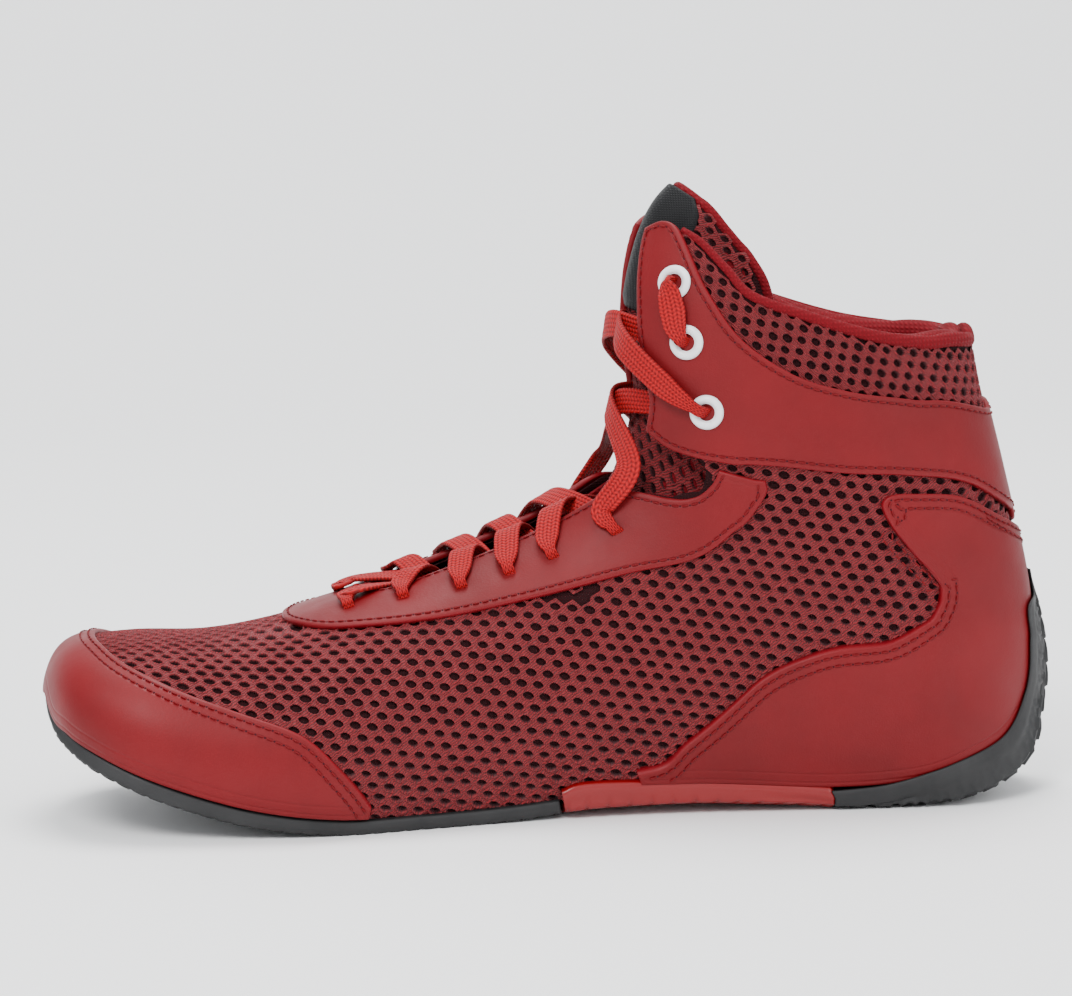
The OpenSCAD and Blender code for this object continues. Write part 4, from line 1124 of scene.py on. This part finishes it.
def mesh_material():
    """Open spacer mesh: bright twisted loops round holes whose walls turn dark towards their foot as painted
    shade, by the lattice's own ring values.
    """
    material, nodes, links, main = shader("spacer_mesh")
    ring = stored(nodes, "ring")
    yarn = node(nodes, "ShaderNodeTexWave", Scale=0.62, Distortion=5.0, Detail=2.0, wave_type="BANDS",
                bands_direction="DIAGONAL")
    yarn.inputs["Detail Scale"].default_value = 1.2
    links.new(stored(nodes, "weave", "Vector"), yarn.inputs["Vector"])
    strands = yarn.outputs["Fac"]
    bright = blend_colours(nodes, links, strands, (0.06, 0.0003, 0.0015), (0.2, 0.001, 0.005))
    # painted shade: the hole walls darken to near black towards their foot, for the shade inside the holes
    painted_hole_shade = ramp(nodes, links, ring, 0.72, 0.9)
    colour = node(nodes, "ShaderNodeMix", data_type="RGBA")
    links.new(painted_hole_shade, colour.inputs[0])
    links.new(bright, colour.inputs[6])
    colour.inputs[7].default_value = (0.025, 0.001, 0.003, 1)
    links.new(colour.outputs[2], main.inputs["Base Color"])
    fuzz = calc(nodes, links, "MULTIPLY", noise(nodes, links, 1500, 2), 0.5)
    fine = calc(nodes, links, "ADD", strands, fuzz)
    bump(nodes, links, main, fine, 0.25, 0.9)
    main.inputs["Roughness"].default_value = 0.75
    main.inputs["Sheen Weight"].default_value = 0.08
    main.inputs["Sheen Tint"].default_value = (0.9, 0.2, 0.25, 1)
    return material


def knit(name, light, dark, scale=1.0, rough=0.85, depth=0.3):
    """A fine knit: two crossed rows of loops, with slow variation of tone."""
    material, nodes, links, main = shader(name)
    where = node(nodes, "ShaderNodeTexCoord")
    rows = []
    for direction in ("X", "Z"):
        wave = node(nodes, "ShaderNodeTexWave", Scale=160 * scale, Distortion=1.2, Detail=2.0,
                    bands_direction=direction)
        links.new(where.outputs["Object"], wave.inputs["Vector"])
        rows.append(wave.outputs["Fac"])
    loops = calc(nodes, links, "MULTIPLY", *rows)
    tone = calc(nodes, links, "ADD", calc(nodes, links, "MULTIPLY", loops, 0.7),
                calc(nodes, links, "MULTIPLY", noise(nodes, links, 70, 3), 0.4))
    links.new(blend_colours(nodes, links, tone, dark, light), main.inputs["Base Color"])
    bump(nodes, links, main, loops, depth, 0.8)
    main.inputs["Roughness"].default_value = rough
    main.inputs["Specular IOR Level"].default_value = 0.2
    return material


def lace_material():
    """Flat braid: six columns of slanted stitches, by the lace's own length and width, with painted shade:
    lighter on the raised stitches, darker in the grooves between them.
    """
    material, nodes, links, main = shader("flat_braid")
    split = node(nodes, "ShaderNodeSeparateXYZ")
    links.new(stored(nodes, "weave", "Vector"), split.inputs[0])
    columns = calc(nodes, links, "MULTIPLY", calc(nodes, links, "ADD", split.outputs[1], 0.5), 6)
    within = calc(nodes, links, "PINGPONG", columns, 1)
    slanted = calc(nodes, links, "ADD", calc(nodes, links, "MULTIPLY", split.outputs[0], 5.2),
                   calc(nodes, links, "MULTIPLY", within, 3.4))
    stitch = calc(nodes, links, "SINE", slanted)
    wave = calc(nodes, links, "SINE", calc(nodes, links, "MULTIPLY", columns, math.pi))
    ridge = calc(nodes, links, "ABSOLUTE", wave)
    height = calc(nodes, links, "ADD", calc(nodes, links, "MULTIPLY", stitch, 0.5), ridge)
    # colour follows the relief height: painted light on the raised stitches, painted shade in the grooves
    tone = ramp(nodes, links, height, -0.3, 1.3)
    links.new(blend_colours(nodes, links, tone, (0.12, 0.0005, 0.001), (0.4, 0.002, 0.005)),
              main.inputs["Base Color"])
    fuzz = calc(nodes, links, "MULTIPLY", noise(nodes, links, 2200, 2), 0.4)
    bump(nodes, links, main, calc(nodes, links, "ADD", height, fuzz), 0.28, 0.8)
    main.inputs["Roughness"].default_value = 0.7
    main.inputs["Specular IOR Level"].default_value = 0.25
    return material


def rubber(name, light, dark, rough=(0.5, 0.68)):
    """Moulded rubber or plastic: fine pitting, and slow variation of tone and gloss."""
    material, nodes, links, main = shader(name)
    links.new(blend_colours(nodes, links, noise(nodes, links, 45, 5), dark, light), main.inputs["Base Color"])
    gloss = node(nodes, "ShaderNodeMapRange", From_Min=0.3, From_Max=0.7, To_Min=rough[0], To_Max=rough[1])
    links.new(noise(nodes, links, 120, 3), gloss.inputs["Value"])
    links.new(gloss.outputs["Result"], main.inputs["Roughness"])
    bump(nodes, links, main, noise(nodes, links, 1600, 3), 0.08, 0.5)
    return material


def enamel():
    """White enamel on the eyelets, a little uneven and worn."""
    material, nodes, links, main = shader("white_enamel")
    worn = ramp(nodes, links, noise(nodes, links, 400, 4), 0.35, 0.75)
    links.new(blend_colours(nodes, links, worn, (0.86, 0.86, 0.87), (0.74, 0.74, 0.76)),
              main.inputs["Base Color"])
    bump(nodes, links, main, noise(nodes, links, 300, 2), 0.05, 0.4)
    main.inputs["Roughness"].default_value = 0.3
    return material


def metal():
    material, nodes, links, main = shader("plain_steel")
    links.new(blend_colours(nodes, links, noise(nodes, links, 300, 4), (0.5, 0.5, 0.52), (0.36, 0.36, 0.38)),
              main.inputs["Base Color"])
    bump(nodes, links, main, noise(nodes, links, 900, 2), 0.03, 0.5)
    main.inputs["Metallic"].default_value = 1
    main.inputs["Roughness"].default_value = 0.35
    return material


MATERIALS = {
    "leather": {True: leather(True), False: leather(False)}.get,
    "mesh": mesh_material(),
    # near-black knit sheet under the mesh: painted shade seen through the mesh holes
    "backing": knit("painted_shade_backing", (0.03, 0.001, 0.003), (0.01, 0.0005, 0.001), 2.2),
    "lining": knit("lining_knit", (0.17, 0.0005, 0.006), (0.1, 0.0003, 0.003), 1.6),
    "insole": knit("insole_knit", (0.06, 0.06, 0.065), (0.02, 0.02, 0.022), 1.6),
    "label": knit("label_weave", (0.006, 0.006, 0.007), (0.002, 0.002, 0.0025), 3.0, 0.6, 0.12),
    "thread": knit("thread", (0.2, 0.002, 0.006), (0.1, 0.0005, 0.002), 6.0, 0.6, 0.1),
    # flat dark disks at the needle holes: painted shade in the holes
    "needle_hole_shade": knit("needle_hole_shade", (0.07, 0.004, 0.01), (0.03, 0.002, 0.006), 4.0),
    "lace": lace_material(),
    "rubber": rubber("black_rubber", (0.006, 0.006, 0.0065), (0.003, 0.003, 0.0035)),
    "shank": rubber("red_moulding", (0.21, 0.001, 0.002), (0.16, 0.0005, 0.0015), (0.3, 0.42)),
    "aglet": rubber("aglet_film", (0.05, 0.05, 0.05), (0.03, 0.03, 0.03), (0.25, 0.4)),
    "board": knit("fibre_board", (0.62, 0.54, 0.4), (0.45, 0.38, 0.27), 1.0),
    "enamel": enamel(),
    "metal": metal(),
}


# ---- The boot
def upper():
    """The mesh of both sides, its near-black backing, which paints the shade seen through the holes, and its
    lining.
    """
    for side, word in ((INNER, "inner"), (OUTER, "outer")):
        tables = side_map(side)
        fabric(f"mesh_{word}_side", tables, side, boot_point, wanted_upper, math.radians(14 * side * -1), "v",
               nodes=["mesh_upper"])
        spots = upper_spots(side)
        backing(f"backing_{word}_side", spots, boot_point, -1.05, 0.3, "backing")
        backing(f"lining_{word}_side", spots, boot_point, -LINING_DEPTH, LINING_T, "lining",
                ["upper_lining"])
        fabric(f"collar_mesh_{word}_side", collar_map(side), side, boot_point, wanted_collar,
               math.radians(20), "u", nodes=["collar_mesh"])
    low, top = across_back(COLLAR_LOW), across_back(COLLAR_TOP)
    spots = panel_spots(low, top, 2.5)
    # near-black backing: painted shade under the collar's mesh holes
    backing("collar_backing", spots, boot_point, -1.05, 0.35, "backing")


def overlays():
    stitched_overlay("toe_cap", across_ridge(TOE_CAP_LOW), across_ridge(TOE_CAP_TOP), "b")
    stitched_overlay("lace_guard", across_ridge(GUARD_LOW), across_ridge(GUARD_TOP), "ab", LACE_HOLES)
    stitched_overlay("ankle_band", across_back(BAND_LOW), across_back(BAND_TOP), ["a", "b", "start"], EYELETS)
    stitched_overlay("heel_overlay", across_back(HEEL_LOW), across_back(HEEL_TOP), "b")


def collar():
    radius = [0.9, 1.1, 1.5, 1.9, 1.9, 1.9, 1.5, 1.1, 0.9]
    depth = [-0.5] + [-0.6] * 7 + [-0.5]
    binding("collar_binding", across_back(COLLAR_TOP), boot_point, radius, depth, "lining")
    collar_pad()


def tongue():
    for side, word in ((INNER, "inner"), (OUTER, "outer")):
        fabric(f"tongue_mesh_{word}_side", tongue_map(side), side, tongue_point, wanted_tongue,
               math.radians(20), "u", nodes=["tongue_mesh"], body="tongue")
    spots = panel_spots(TONGUE_EDGE, [[k, -c] for k, c in TONGUE_EDGE], 2.5, tongue_point)
    # near-black backing: painted shade under the tongue's mesh holes
    backing("tongue_backing", spots, tongue_point, -1.0, 0.4, "backing", body="tongue")
    edge = TONGUE_EDGE + [[k, -c] for k, c in TONGUE_EDGE[::-1]]
    binding("tongue_binding", edge, tongue_point, [1.2] * 3, [-1.4] * 3, "lining", "tongue")
    tongue_pad()
    label()


def soles():
    sole_panel("outsole_forefoot", FOREFOOT_EDGE, 260, 170, forefoot_depth, "rubber")
    sole_panel("shank_bridge", SHANK_EDGE, 160, 110, shank_depth, "shank")
    sole_panel("outsole_heel", HEEL_EDGE, 260, 170, heel_depth, "rubber")


CAD_FINISHES = {"insole_board": "board", "toe_puff": "board", "heel_counter": "board",
                "eyelets": "enamel", "eyelet_washers": "metal", "aglets": "aglet"}


def finish_cad_nodes():
    """Materials for the CAD nodes that stay."""
    for name, material in CAD_FINISHES.items():
        piece = bpy.data.objects[name]
        piece.data.materials.clear()
        piece.data.materials.append(MATERIALS[material])


# ---- The studio
FOCUS = (-0.0015, 0, 0.0865)
CAMERA_DISTANCE = 1.3
CAMERA_TURN = math.radians(-8)
CAMERA_RISE = math.radians(8)
FOCAL_LENGTH = 149.7
SHIFT = (-9 / 1072, 7 / 1072)


def camera():
    """The view of the photograph: the inner side, from a little above and slightly ahead."""
    back = Vector((math.sin(CAMERA_TURN) * math.cos(CAMERA_RISE),
                   -math.cos(CAMERA_TURN) * math.cos(CAMERA_RISE), math.sin(CAMERA_RISE)))
    data = bpy.data.cameras.new("camera")
    data.lens = FOCAL_LENGTH
    data.sensor_width = 36
    data.shift_x, data.shift_y = SHIFT
    seen = bpy.data.objects.new("camera", data)
    scene.collection.objects.link(seen)
    seen.location = Vector(FOCUS) + back * CAMERA_DISTANCE
    seen.rotation_euler = (-back).to_track_quat("-Z", "Y").to_euler()
    scene.camera = seen


def lamp(name, spot, size, power, aim=(0, 0, 0.06)):
    data = bpy.data.lights.new(name, "AREA")
    data.shape = "DISK"
    data.size = size
    data.energy = power
    light = bpy.data.objects.new(name, data)
    scene.collection.objects.link(light)
    light.location = spot
    light.rotation_euler = (Vector(aim) - Vector(spot)).to_track_quat("-Z", "Y").to_euler()


def studio():
    """A pale floor that curves up out of sight, and soft light."""
    n = 48
    angle = np.linspace(0, np.pi / 2, n)
    y = np.concatenate([[-3000, 900], 900 + 900 * np.sin(angle), [1800]])
    z = np.concatenate([[0, 0], 900 - 900 * np.cos(angle), [3500]])
    x = np.array([-4000.0, 4000.0])
    points = np.stack([np.repeat(x[:, None], len(y), 1), np.tile(y, (2, 1)), np.tile(z, (2, 1))], -1)
    mesh = bpy.data.meshes.new("floor")
    mesh.from_pydata((points.reshape(-1, 3) * MM).tolist(), [], grid_faces(2, len(y)).tolist())
    mesh.shade_smooth()
    floor = bpy.data.objects.new("floor", mesh)
    scene.collection.objects.link(floor)
    material, nodes, links, main = shader("pale_floor")
    links.new(blend_colours(nodes, links, noise(nodes, links, 3, 2), (0.93, 0.93, 0.93), (0.91, 0.91, 0.91)),
              main.inputs["Base Color"])
    main.inputs["Roughness"].default_value = 0.8
    mesh.materials.append(material)
    lamp("key", (-0.7, -1.3, 1.5), 0.9, 36)
    lamp("fill", (1.2, -1.2, 0.8), 1.2, 9)
    lamp("top", (0.1, 0.4, 1.8), 1.0, 34)
    world = bpy.data.worlds.new("world")
    world.use_nodes = True
    world.node_tree.nodes["Background"].inputs[0].default_value = (0.95, 0.97, 1, 1)
    world.node_tree.nodes["Background"].inputs[1].default_value = 1.15
    scene.world = world


camera()
studio()
upper()
overlays()
collar()
tongue()
lace()
soles()
sockliner()
finish_cad_nodes()
